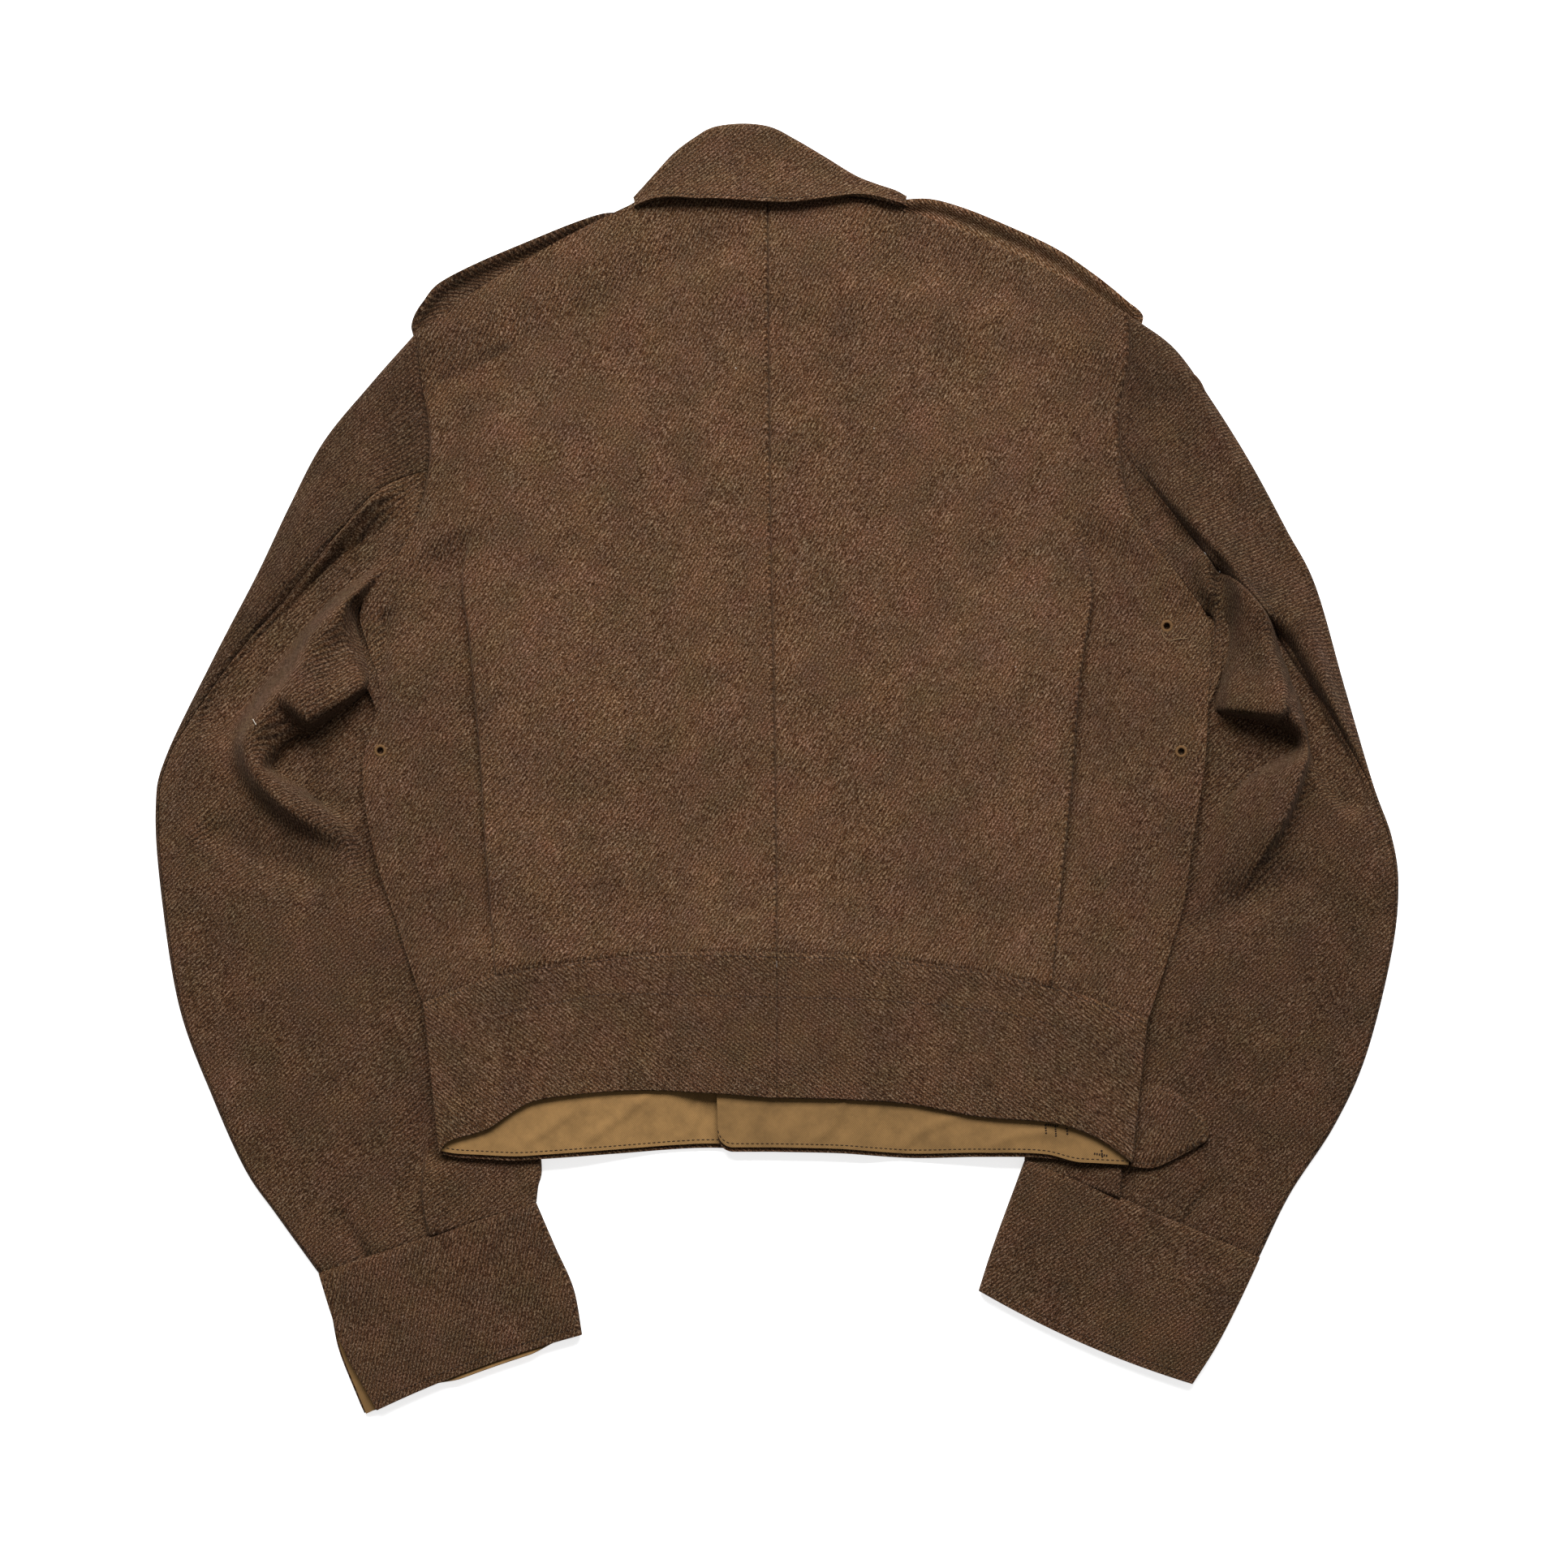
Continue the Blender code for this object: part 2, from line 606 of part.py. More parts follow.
def sleeve(side):
    """Both halves of a two-piece sleeve, parted at the hind-arm and forearm seams."""
    rows = SLEEVE[side]
    spans = [np.linspace(0, 1.5, 3), np.linspace(2, 7, 11), np.linspace(8, len(rows) - 1, 6)]
    place = np.concatenate(spans)[:, None]
    reach = np.linalg.norm(points(rows, "inner", place) - points(rows, "outer", place), axis=-1)
    gap = (SLEEVE_SEAM / 2) / reach
    seam = np.maximum(through(column(rows, "seam"), place), HINDARM_LEAST / reach)
    knots = np.array([-1.0, -0.5, -0.15, 0.0, 0.15, 0.5, 1.0])[None, :]
    bend = knots * fold_width(side, place, "outer") / reach
    floor = np.linspace(gap - FOREARM_SEAM, bend[:, :1], 6, axis=1)[..., 0]
    over = np.linspace(bend[:, -1:], seam - gap, 4, axis=1)[..., 0]
    ring = np.concatenate([floor[:, :-1], bend, over[:, 1:]], axis=1)
    sleeve_half("top_sleeve_" + side, side, place, ring)
    bend = knots * fold_width(side, place, "inner") / reach
    over = np.linspace(seam + gap, 1.0 + bend[:, :1], 15, axis=1)[..., 0]
    floor = np.linspace(1.0 + bend[:, -1:], 2.0 - FOREARM_SEAM - gap, 4, axis=1)[..., 0]
    ring = np.concatenate([over[:, :-1], 1.0 + bend, floor[:, 1:]], axis=1)
    sleeve_half("under_sleeve_" + side, side, place, ring)


def folded(name, free_edge, fold, under_edge, top_z, under_z, steps, bow=0.0):
    """A doubled band folded in two: an upper layer, a round fold and the layer beneath it.

    The bow moves each row's points by up to its own plan vector, most midway along the row.
    """
    radius = (top_z - under_z) / 2
    inward = unit(fold - free_edge)
    bend = fold - inward * (radius + DOUBLED / 2)
    share = np.linspace(0, 1, steps)[None, :]
    upper = with_height(between(free_edge, bend, share), top_z)
    turn = np.linspace(0, np.pi, 6)[None, 1:-1]
    round_plan = bend + inward * (radius * np.sin(turn))[..., None]
    round_part = with_height(round_plan, (top_z + under_z) / 2 + radius * np.cos(turn))
    lower = with_height(between(bend, under_edge, share), under_z)
    grid = np.concatenate([upper, round_part, lower], axis=1)
    along = np.linalg.norm(grid[..., :2] - free_edge, axis=-1) / np.linalg.norm(fold - free_edge, axis=-1)
    grid[..., :2] += bow * (4.0 * along * (1.0 - along))[..., None]
    return cloth(name, grid, DOUBLED, 0, BROWN)


def cuff_bow(side, place, inward):
    """Plan vectors by which a cuff's rows bow away from the sleeve, nought at its seam."""
    downward = SIGN[side] * np.stack([inward[..., 1], -inward[..., 0]], axis=-1)
    return -downward * (CUFF_BOW[side] * (place / (len(CUFF[side]) - 1)) ** 2)[..., None]


def cuff(side):
    """A cuff band: folded at the inner side, open at the outer side for the vent."""
    rows = CUFF[side]
    place = np.linspace(0, len(rows) - 1, 7)[:, None]
    free_edge = points(rows, "outer", place)
    fold = points(rows, "inner", place)
    inward = unit(fold - free_edge)
    under_edge = free_edge - inward * VENT_STEP[side]
    bow = cuff_bow(side, place, inward)
    if side == "left":
        free_edge, fold, under_edge, bow = free_edge[::-1], fold[::-1], under_edge[::-1], bow[::-1]
    folded("cuff_" + side, free_edge, fold, under_edge, CUFF_HEIGHT - DOUBLED / 2, DOUBLED / 2, 6, bow)


def cuff_lining(side):
    """The drill inside the lower layer of a cuff, showing in the vent and past the lower edge."""
    rows = CUFF[side]
    place = np.linspace(0.4, len(rows) - 1, 6)[:, None]
    outer = points(rows, "outer", place)
    inner = points(rows, "inner", place)
    inward = unit(inner - outer)
    start = outer - inward * (VENT_STEP[side] - 1.0)
    share = np.linspace(0, 0.9, 8)[None, :]
    plan = between(start, inner, share)
    plan += cuff_bow(side, place, inward) * (4.0 * share * (1.0 - share))[..., None]
    downward = np.stack([-inward[-1, 0, 1], inward[-1, 0, 0]])
    plan[-1] -= downward * LINING_PEEP
    cloth("cuff_lining_" + side, with_height(plan, DOUBLED + SEAM)[::-1], DRILL, 1, TAN)


def collar():
    """The collar's fall, roll line and stand, across the back of the neck."""
    place = np.linspace(0, len(COLLAR) - 1, 19)[:, None]
    across = through(column(COLLAR, "x"), place)
    free_edge = np.stack([across, through(column(COLLAR, "edge_y"), place)], axis=-1)
    fold = np.stack([across, through(column(COLLAR, "roll_y"), place)], axis=-1)
    seam = np.stack([across, neck_line(across) + 2 * SEAM], axis=-1)
    under_edge = np.minimum(seam, fold - np.array([0.0, 4.0]))
    folded("collar", free_edge, fold, under_edge, FALL_Z, STAND_Z, 4)


def neck_line(across):
    """Height up the plan of the back's top edge: neck seam in the middle, shoulder seams beside it."""
    left, right = BACK["left"][0], BACK["right"][0]
    stations = [left.side_x, left.pleat_x, CENTRE_TOP_X, right.pleat_x, right.side_x]
    heights = [left.side_y, left.pleat_y, left.centre_y, right.pleat_y, right.side_y]
    return np.interp(across, stations, heights)


def collar_end(side):
    """A hidden end of the collar, flat on the floor from the side of the neck to the throat."""
    across = np.linspace(SIGN[side] * 2.5 - 2.0, COLLAR_END_X[side], 8)[:, None]
    roll = np.interp(across, column(COLLAR, "x"), column(COLLAR, "roll_y")) - COLLAR_END_INSET
    row = BACK[side][0]
    throat_x, throat_y = FRONT_EDGE_X[side], row.centre_y - THROAT_DROP
    share = (across - throat_x) / (row.pleat_x - throat_x)
    lower = throat_y + (row.pleat_y - throat_y) * share + COLLAR_END_SEAM
    upper_edge = np.stack([across, roll], axis=-1)
    lower_edge = np.stack([across, np.minimum(lower, roll - 6.0)], axis=-1)
    plan = between(lower_edge, upper_edge, np.linspace(0, 1, 3)[None, :])
    grid = with_height(plan, 0.0)
    cloth("collar_front_" + side, grid if side == "left" else grid[:, ::-1], DOUBLED, 1, BROWN)


def shoulder_strap(side):
    """A strap flat on the floor, its outer part standing out past the shoulder line."""
    place = np.linspace(0, len(STRAP[side]) - 1, 15)[:, None]
    outer = points(STRAP[side], "outer", place)
    inner = points(STRAP[side], "inner", place)
    grid = with_height(between(outer, inner, np.linspace(0, 1, 4)[None, :]), 0.0)
    cloth("shoulder_strap_" + side, grid if side == "left" else grid[:, ::-1], DOUBLED, 1, BROWN)


def waist_seam(side, across):
    """Plan points along the lower edge of the back, by share of the way from centre to side."""
    row = BACK[side][-1]
    centre = np.array([CENTRE_WAIST_X + SIGN[side] * SEAM / 2, row.centre_y])
    pleat = np.array([row.pleat_x, row.pleat_y])
    edge = np.array([row.side_x, row.side_y])
    pleat_share = np.linalg.norm(pleat - centre) / (
        np.linalg.norm(pleat - centre) + np.linalg.norm(edge - pleat))
    inner = np.clip(across / pleat_share, 0, 1)
    outer = np.clip((across - pleat_share) / (1 - pleat_share), 0, 1)
    middle = bowed(between(centre, pleat, inner), inner, WAIST_BOW)
    return np.where((across < pleat_share)[..., None], middle, between(pleat, edge, outer))


def waistband_back(side):
    """Half of the back waistband, from the waist seam to the hem."""
    share = np.linspace(0, 1, 15)[None, :]
    place = share * (len(HEM[side]) - 1)
    top = waist_seam(side, share) - np.array([0.0, 2 * SEAM])
    hem = points(HEM[side], "hem", place)
    hem[:, 0, 0] = top[:, 0, 0]
    plan = between(top, hem, np.linspace(0, 1, BAND_ROWS)[:, None])
    grid = with_height(plan, body_lift(plan) + front_lap(plan) + BAND_STACK)
    cloth("waistband_back_" + side, grid if side == "left" else grid[:, ::-1], DOUBLED, 1, BROWN)


def waistband_front(side):
    """A front waistband and the strip of drill on its inside that shows in the hem's mouth."""
    share = np.linspace(-0.2, 1, 19)[None, :]
    row = BACK[side][-1]
    place = np.clip(share, 0, 1) * (len(HEM[side]) - 1)
    top = waist_seam(side, np.clip(share, 0, 1)) - np.array([0.0, WAIST_BOW + WAIST_INSET])
    lower = points(HEM[side], "front", place)
    lap = np.clip(-share, 0, 1) / 0.2
    top[..., 0] += lap * (FRONT_EDGE_X[side] - CENTRE_WAIST_X)
    lower[..., 0] += lap * (FRONT_EDGE_X[side] - CENTRE_WAIST_X)
    top[..., 1] = np.minimum(top[..., 1], row.centre_y - 2 * SEAM)
    lining_rows = np.linspace(LINING_TOP, LINING_INSET, BAND_ROWS)
    band_rows = np.concatenate([[0.0, LINING_TOP / 2], lining_rows, [1.0]])
    parts = [("waistband_front_", band_rows, 0.0, DOUBLED, BROWN),
             ("waistband_lining_", lining_rows, DOUBLED + 2 * SEAM, DRILL, TAN)]
    for name, rows_down, above, wall, colour in parts:
        plan = between(top, lower, rows_down[:, None])
        height = body_lift(plan) + above
        if side == "right":
            height = height + front_lap(plan)
        grid = with_height(plan, height)
        cloth(name + side, grid if side == "left" else grid[:, ::-1], wall, 1, colour)


def waist_tab():
    """The pointed strap end past the right side edge, lying on the sleeve."""
    place = np.linspace(0, len(TAB) - 1, 7)[:, None]
    upper = points(TAB, "upper", place)
    lower = points(TAB, "lower", place)
    grid = with_height(between(upper, lower, np.linspace(0, 1, 4)[None, :]), BODY_LIFT)
    cloth("waist_tab", grid, DOUBLED, 1, BROWN)


def pierce(panel, centre):
    """Cut one eyelet's hole through a panel."""
    bpy.ops.mesh.primitive_cylinder_add(vertices=8, radius=EYELET / 2 * MM, depth=80 * MM,
                                        location=(centre[0] * MM, centre[1] * MM, 0))
    cutter = bpy.context.object
    cutter.name = panel.name + "_hole_cutter"
    cutter.hide_render = True
    cutter.display_type = "WIRE"
    cut = panel.modifiers.new("Eyelet", "BOOLEAN")
    cut.object = cutter
    cut.operation = "DIFFERENCE"
    cut.solver = "EXACT"


for hand in SIGN:
    back = back_half(hand)
    for eyelet in EYELETS[hand]:
        pierce(back, eyelet)
    front_half(hand)
    sleeve(hand)
    cuff(hand)
    collar_end(hand)
    shoulder_strap(hand)
    waistband_back(hand)
    waistband_front(hand)
cuff_lining("left")
collar()
waist_tab()
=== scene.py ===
from collections import namedtuple

import bpy
import numpy as np
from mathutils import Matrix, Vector


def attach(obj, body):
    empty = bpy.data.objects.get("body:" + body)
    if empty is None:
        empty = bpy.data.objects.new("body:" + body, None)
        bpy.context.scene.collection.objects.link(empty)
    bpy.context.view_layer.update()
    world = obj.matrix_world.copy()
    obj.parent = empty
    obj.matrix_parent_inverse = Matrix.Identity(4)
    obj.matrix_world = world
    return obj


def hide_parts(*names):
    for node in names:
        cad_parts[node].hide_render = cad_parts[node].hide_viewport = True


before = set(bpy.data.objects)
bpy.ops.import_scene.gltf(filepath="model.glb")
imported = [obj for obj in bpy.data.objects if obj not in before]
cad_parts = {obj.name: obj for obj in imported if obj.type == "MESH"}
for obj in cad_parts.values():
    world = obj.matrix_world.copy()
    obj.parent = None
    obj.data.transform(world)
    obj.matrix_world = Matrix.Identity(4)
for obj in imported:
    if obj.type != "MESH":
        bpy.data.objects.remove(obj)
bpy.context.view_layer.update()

# The picture: a lit white table, a wide soft lamp beyond the collar end, a dim surround, and a camera
# looking straight down on the middle of the square picture. The colours are shown as they are lit.
PICTURE_SIDE = 0.927
PICTURE_CENTRE = (0.0041, -0.0091)
CAMERA_HEIGHT = 2.6
SENSOR = 36.0
FLOOR_SIDE = 6.0
FLOOR_DROP = 0.0003
FLOOR_ROUGHNESS = 0.9
FLOOR_WHITE = (0.86, 0.86, 0.86, 1.0)
FLOOR_GLOW = 0.7
LAMP_PLACE = (-0.1, 3.4, 3.2)
LAMP_WIDE = 4.2
LAMP_DEEP = 2.0
LAMP_WATTS = 470.0
SURROUND = 0.2
WHITE = (1.0, 1.0, 1.0, 1.0)

scene = bpy.context.scene
scene.view_settings.view_transform = "Standard"
camera_data = bpy.data.cameras.new("camera")
camera_data.sensor_width = SENSOR
camera_data.lens = SENSOR * CAMERA_HEIGHT / PICTURE_SIDE
camera = bpy.data.objects.new("camera", camera_data)
camera.location = (*PICTURE_CENTRE, CAMERA_HEIGHT)
scene.collection.objects.link(camera)
scene.camera = camera

lamp_data = bpy.data.lights.new("lamp", "AREA")
lamp_data.shape = "RECTANGLE"
lamp_data.size = LAMP_WIDE
lamp_data.size_y = LAMP_DEEP
lamp_data.energy = LAMP_WATTS
lamp = bpy.data.objects.new("lamp", lamp_data)
lamp.location = LAMP_PLACE
lamp.rotation_euler = Vector(LAMP_PLACE).to_track_quat("Z", "Y").to_euler()
scene.collection.objects.link(lamp)

world = bpy.data.worlds.new("surround")
scene.world = world
world.use_nodes = True
backdrop = world.node_tree.nodes["Background"]
backdrop.inputs["Color"].default_value = WHITE
backdrop.inputs["Strength"].default_value = SURROUND

floor_mesh = bpy.data.meshes.new("floor")
half = FLOOR_SIDE / 2
floor_mesh.from_pydata([(-half, -half, -FLOOR_DROP), (half, -half, -FLOOR_DROP),
                        (half, half, -FLOOR_DROP), (-half, half, -FLOOR_DROP)], [], [(0, 1, 2, 3)])
floor_paint = bpy.data.materials.new("floor")
floor_paint.use_nodes = True
floor_shader = floor_paint.node_tree.nodes["Principled BSDF"]
floor_shader.inputs["Base Color"].default_value = FLOOR_WHITE
floor_shader.inputs["Roughness"].default_value = FLOOR_ROUGHNESS
floor_shader.inputs["Emission Color"].default_value = WHITE
floor_shader.inputs["Emission Strength"].default_value = FLOOR_GLOW
floor_mesh.materials.append(floor_paint)
floor = bpy.data.objects.new("floor", floor_mesh)
scene.collection.objects.link(floor)


# The two backs: wool serge, a heathered brown twill with a soft nap, cut as two halves and sewn down
# the centre. Each has a knife pleat from below the shoulder blade to the waist seam, its fold facing
# the side. Lengths here and below are in millimetres until a mesh is made.
MM = 0.001
SERGE = 1.5
SEAM = 0.35
RIB = 2.1
RIB_ANGLE = 57.0
FIBRE_DARK = np.array([0.0135, 0.0038, 0.0007])
FIBRE_BROWN = np.array([0.054, 0.0240, 0.0090])
FIBRE_RED = np.array([0.077, 0.0340, 0.0138])
FIBRE_TAN = np.array([0.195, 0.130, 0.082])
TINT_SPREAD = (0.24, 0.30, 0.36)
TINT_LEAST = (0.88, 0.85, 0.82)
FLANK_TURN = (0.6, -0.6, 1.0)
NAP_TINT = (0.62, 0.46, 0.34, 1.0)
WAVE_TURN = 2 * np.pi / 20
# Painted shade: beyond these distances from the middle the back's colour is dimmed, darkening the side panels
# outside the pleats.
PAINTED_SHADE_FROM = 0.160
PAINTED_SHADE_TO = 0.185
SIDE_PANEL_PAINTED_SHADE = 0.84


def feed(material, socket, value):
    """Set an input to a fixed value, or link it to another node's output."""
    if isinstance(value, bpy.types.NodeSocket):
        material.node_tree.links.new(value, socket)
    else:
        socket.default_value = value


def node_of(material, kind, **values):
    """A new shader node of a kind, its inputs fed by name."""
    made = material.node_tree.nodes.new(kind)
    for name, value in values.items():
        feed(material, made.inputs[name.replace("_", " ")], value)
    return made


def combined(material, kind, operation, *values):
    """The result of a math node, its inputs fed in their order."""
    made = material.node_tree.nodes.new(kind)
    made.operation = operation
    for socket, value in zip(made.inputs, values):
        feed(material, socket, value)
    return made.outputs[0]


def finished(material, **values):
    """A material whose surface shader has its inputs fed by name."""
    shader = material.node_tree.nodes["Principled BSDF"]
    for name, value in values.items():
        feed(material, shader.inputs[name.replace("_", " ")], value)
    return material


def new_material(name):
    """A material of shader nodes."""
    material = bpy.data.materials.new(name)
    material.use_nodes = True
    return material


def place_on_weave(material):
    """The output that gives each point's place on the weave, in metres."""
    weave = material.node_tree.nodes.new("ShaderNodeUVMap")
    weave.uv_map = "weave"
    return weave.outputs["UV"]


def ramp(material, value, stops):
    """The colour of a ramp through pairs of a position and a colour, read at a value."""
    made = node_of(material, "ShaderNodeValToRGB", Fac=value)
    while len(made.color_ramp.elements) < len(stops):
        made.color_ramp.elements.new(0.5)
    for element, (position, colour) in zip(made.color_ramp.elements, stops):
        element.position = position
        element.color = (*colour, 1.0)
    return made.outputs["Color"]


def serge(name, tone, angle=RIB_ANGLE, side_shade=1.0):
    """Napped wool twill, its colours dimmed by a tone and its ribs rising at an angle in degrees.

    Colour is a ramp of fibre colours over a noise drawn out along the ribs, times a wave of ribs,
    times a broad mottling in shade and hue, times the side shade far from the middle: painted shade
    that darkens the side panels. For the sleeves the tone also holds painted shade, and for the straps
    painted shade on the left and painted light on the right. The ribs and the noise also raise the
    surface. Height is added to the place on the weave, so that neither is drawn out on a steep fold.
    """
    material = new_material(name)
    weave = place_on_weave(material)
    place = node_of(material, "ShaderNodeTexCoord").outputs["Object"]
    level = node_of(material, "ShaderNodeSeparateXYZ", Vector=place).outputs["Z"]
    rise = combined(material, "ShaderNodeVectorMath", "MULTIPLY", level, FLANK_TURN)
    lifted = combined(material, "ShaderNodeVectorMath", "ADD", weave, rise)
    turned = node_of(material, "ShaderNodeMapping", Vector=lifted, Rotation=(0, 0, np.radians(90 - angle)),
                     Scale=(1 / MM, 1 / MM, 1 / MM)).outputs["Vector"]
    ribs = node_of(material, "ShaderNodeTexWave", Vector=turned, Scale=WAVE_TURN / RIB, Distortion=2.4,
                   Detail=2.0, Detail_Scale=2.6, Detail_Roughness=0.7).outputs["Fac"]
    drawn = node_of(material, "ShaderNodeMapping", Vector=turned, Scale=(1.8, 0.85, 1.0)).outputs["Vector"]
    fibres = node_of(material, "ShaderNodeTexNoise", Vector=drawn, Scale=1.0, Detail=3.0,
                     Roughness=0.72).outputs["Fac"]
    heather = ramp(material, fibres, [(0.40, FIBRE_DARK * tone), (0.465, FIBRE_BROWN * tone),
                                      (0.53, FIBRE_RED * tone), (0.62, FIBRE_TAN * tone)])
    broad = node_of(material, "ShaderNodeTexNoise", Vector=turned, Scale=0.045, Detail=4.0, Roughness=0.6)
    tint = combined(material, "ShaderNodeVectorMath", "MULTIPLY_ADD", broad.outputs["Color"], TINT_SPREAD,
                    TINT_LEAST)
    shade = node_of(material, "ShaderNodeMapRange", Value=broad.outputs["Fac"], To_Min=0.62,
                    To_Max=1.38).outputs["Result"]
    # Painted shade: the colour is dimmed by the side shade beyond a given distance from the middle.
    across = node_of(material, "ShaderNodeSeparateXYZ", Vector=weave).outputs["X"]
    from_middle = combined(material, "ShaderNodeMath", "ABSOLUTE", across)
    painted_side_shade = node_of(material, "ShaderNodeMapRange", Value=from_middle, From_Min=PAINTED_SHADE_FROM,
                     From_Max=PAINTED_SHADE_TO, To_Min=1.0, To_Max=side_shade).outputs["Result"]
    shaded = combined(material, "ShaderNodeMath", "MULTIPLY", shade, painted_side_shade)
    ribbing = node_of(material, "ShaderNodeMapRange", Value=ribs, To_Min=0.6, To_Max=1.4).outputs["Result"]
    tinted = combined(material, "ShaderNodeVectorMath", "MULTIPLY", heather, tint)
    coloured = combined(material, "ShaderNodeVectorMath", "MULTIPLY", tinted, ribbing)
    mottled = combined(material, "ShaderNodeVectorMath", "MULTIPLY", coloured, shaded)
    relief = combined(material, "ShaderNodeMath", "ADD", ribs, fibres)
    bump = node_of(material, "ShaderNodeBump", Height=relief, Strength=0.6, Distance=0.0003).outputs["Normal"]
    return finished(material, Base_Color=mottled, Normal=bump, Roughness=0.93, Specular_IOR_Level=0.12,
                    Sheen_Weight=0.04, Sheen_Roughness=0.5, Sheen_Tint=NAP_TINT)


def smooth(value):
    """Ease from 0 to 1 as the value goes from 0 to 1, level at both ends."""
    value = np.clip(value, 0.0, 1.0)
    return value * value * (3.0 - 2.0 * value)


def column(rows, name):
    """One named column of a table."""
    return np.array([getattr(row, name) for row in rows], dtype=float)


def through(values, place):
    """A smooth curve through a column's values; place counts rows from 0."""
    slopes = np.gradient(values)
    low = np.clip(np.floor(place).astype(int), 0, len(values) - 2)
    step = place - low
    rise = values[low + 1] - values[low]
    bend = step * (1.0 - step)
    return (values[low] + rise * step
            + bend * ((1.0 - step) * (slopes[low] - rise) - step * (slopes[low + 1] - rise)))


def points(rows, name, place):
    """Plan points of the edge whose columns are name_x and name_y."""
    across = through(column(rows, name + "_x"), place)
    up = through(column(rows, name + "_y"), place)
    return np.stack([across, up], axis=-1)


def between(start, end, share):
    """Points on the straight lines from start to end, one for each share."""
    return start + share[..., None] * (end - start)


def unit(vectors):
    """Vectors brought to length 1."""
    return vectors / np.maximum(np.linalg.norm(vectors, axis=-1, keepdims=True), 1e-9)


def with_height(plan, height):
    """Plan points and their heights as points in space."""
    return np.concatenate([plan, np.broadcast_to(height, plan.shape[:-1])[..., None]], axis=-1)


def facing(grid):
    """Unit normals of a grid of points: the step along its columns across the step along its rows."""
    return unit(np.cross(np.gradient(grid, axis=1), np.gradient(grid, axis=0)))


def face_up(side, grid):
    """A grid whose columns are turned round on the right, so that its face looks up on both sides."""
    return grid if side == "left" else grid[:, ::-1]


def cloth(node, grid, wall, side, weave, finish, normal=None):
    """A closed wall of cloth over a grid, in place of a CAD node.

    Side -1, 0 or 1 puts the wall behind, about or before the grid. Each point carries its place on
    the weave.
    """
    normal = facing(grid) if normal is None else normal
    face = grid + normal * (wall * (1 + side) / 2)
    back = grid - normal * (wall * (1 - side) / 2)
    rows, cols = grid.shape[:2]
    index = np.arange(rows * cols).reshape(rows, cols)
    corners_of = [index[:-1, :-1], index[:-1, 1:], index[1:, 1:], index[1:, :-1]]
    quads = np.stack(corners_of, axis=-1).reshape(-1, 4)
    border = np.concatenate([index[0, :-1], index[:-1, -1], index[-1, :0:-1], index[:0:-1, 0]])
    onward = np.roll(border, -1)
    rim = np.stack([onward, border, border + index.size, onward + index.size], axis=1)
    faces = np.concatenate([quads, quads[:, ::-1] + index.size, rim])
    corners = np.concatenate([face.reshape(-1, 3), back.reshape(-1, 3)]) * MM
    mesh = bpy.data.meshes.new(node + "_cloth")
    mesh.from_pydata(corners.tolist(), [], faces.tolist())
    mesh.shade_smooth()
    mesh.set_sharp_from_angle(angle=np.radians(60))
    on_weave = np.tile(weave.reshape(-1, 2), (2, 1)) * MM
    mesh.uv_layers.new(name="weave").data.foreach_set("uv", on_weave[faces.ravel()].ravel())
    mesh.materials.append(finish)
    piece = bpy.data.objects.new(node + "_cloth", mesh)
    scene.collection.objects.link(piece)
    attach(piece, "root")
    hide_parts(node)
    return piece


BODY_LIFT = 6.9
LIFT_RUN = 70.0
LIFT_LEAD = 8.0
LIFT_DROP = 50.0
UNDERARM_Y = 95.0
STRAP_LIFT = 3.4
STRAP_ROW = 0.85
STRAP_RUN = 0.95
PANEL_GAP = 1.4
BAND_STACK = 5.0
FRONT_LAP = 2.0
BAND_LAP = 4.6
BAND_LAP_Y = -60.0
BAND_LAP_RUN = 45.0
LAP_LEFT_X = -66.0
LAP_LEFT_RUN = 26.0
LAP_RIGHT_X = 46.0
LAP_RIGHT_RUN = 30.0
LAYER = 4.4
TOP_LAYER = 1.6
TOP_ROW = 4.3
TOP_ROWS = 2.4
WAIST_LAYER = 1.6
SWELL_ROW = 1.6
SWELL_ROWS = 3.6
ARC_STEPS = 8
RETURN_STEPS = 6
PLEAT_FADE = 0.35
PLEAT_FULL = 0.83
PLEAT_CLEAR = 6.0
CENTRE_TOP_X = -5.5
CENTRE_WAIST_X = -0.2
SHOULDER_BOW = 4.5
WAIST_BOW = 4.5
PUFF_ROW = 5.0
PUFF = 4.0
PUFF_ROWS = 0.8
PUFF_SHARE = 0.2
SIGN = {"left": -1.0, "right": 1.0}

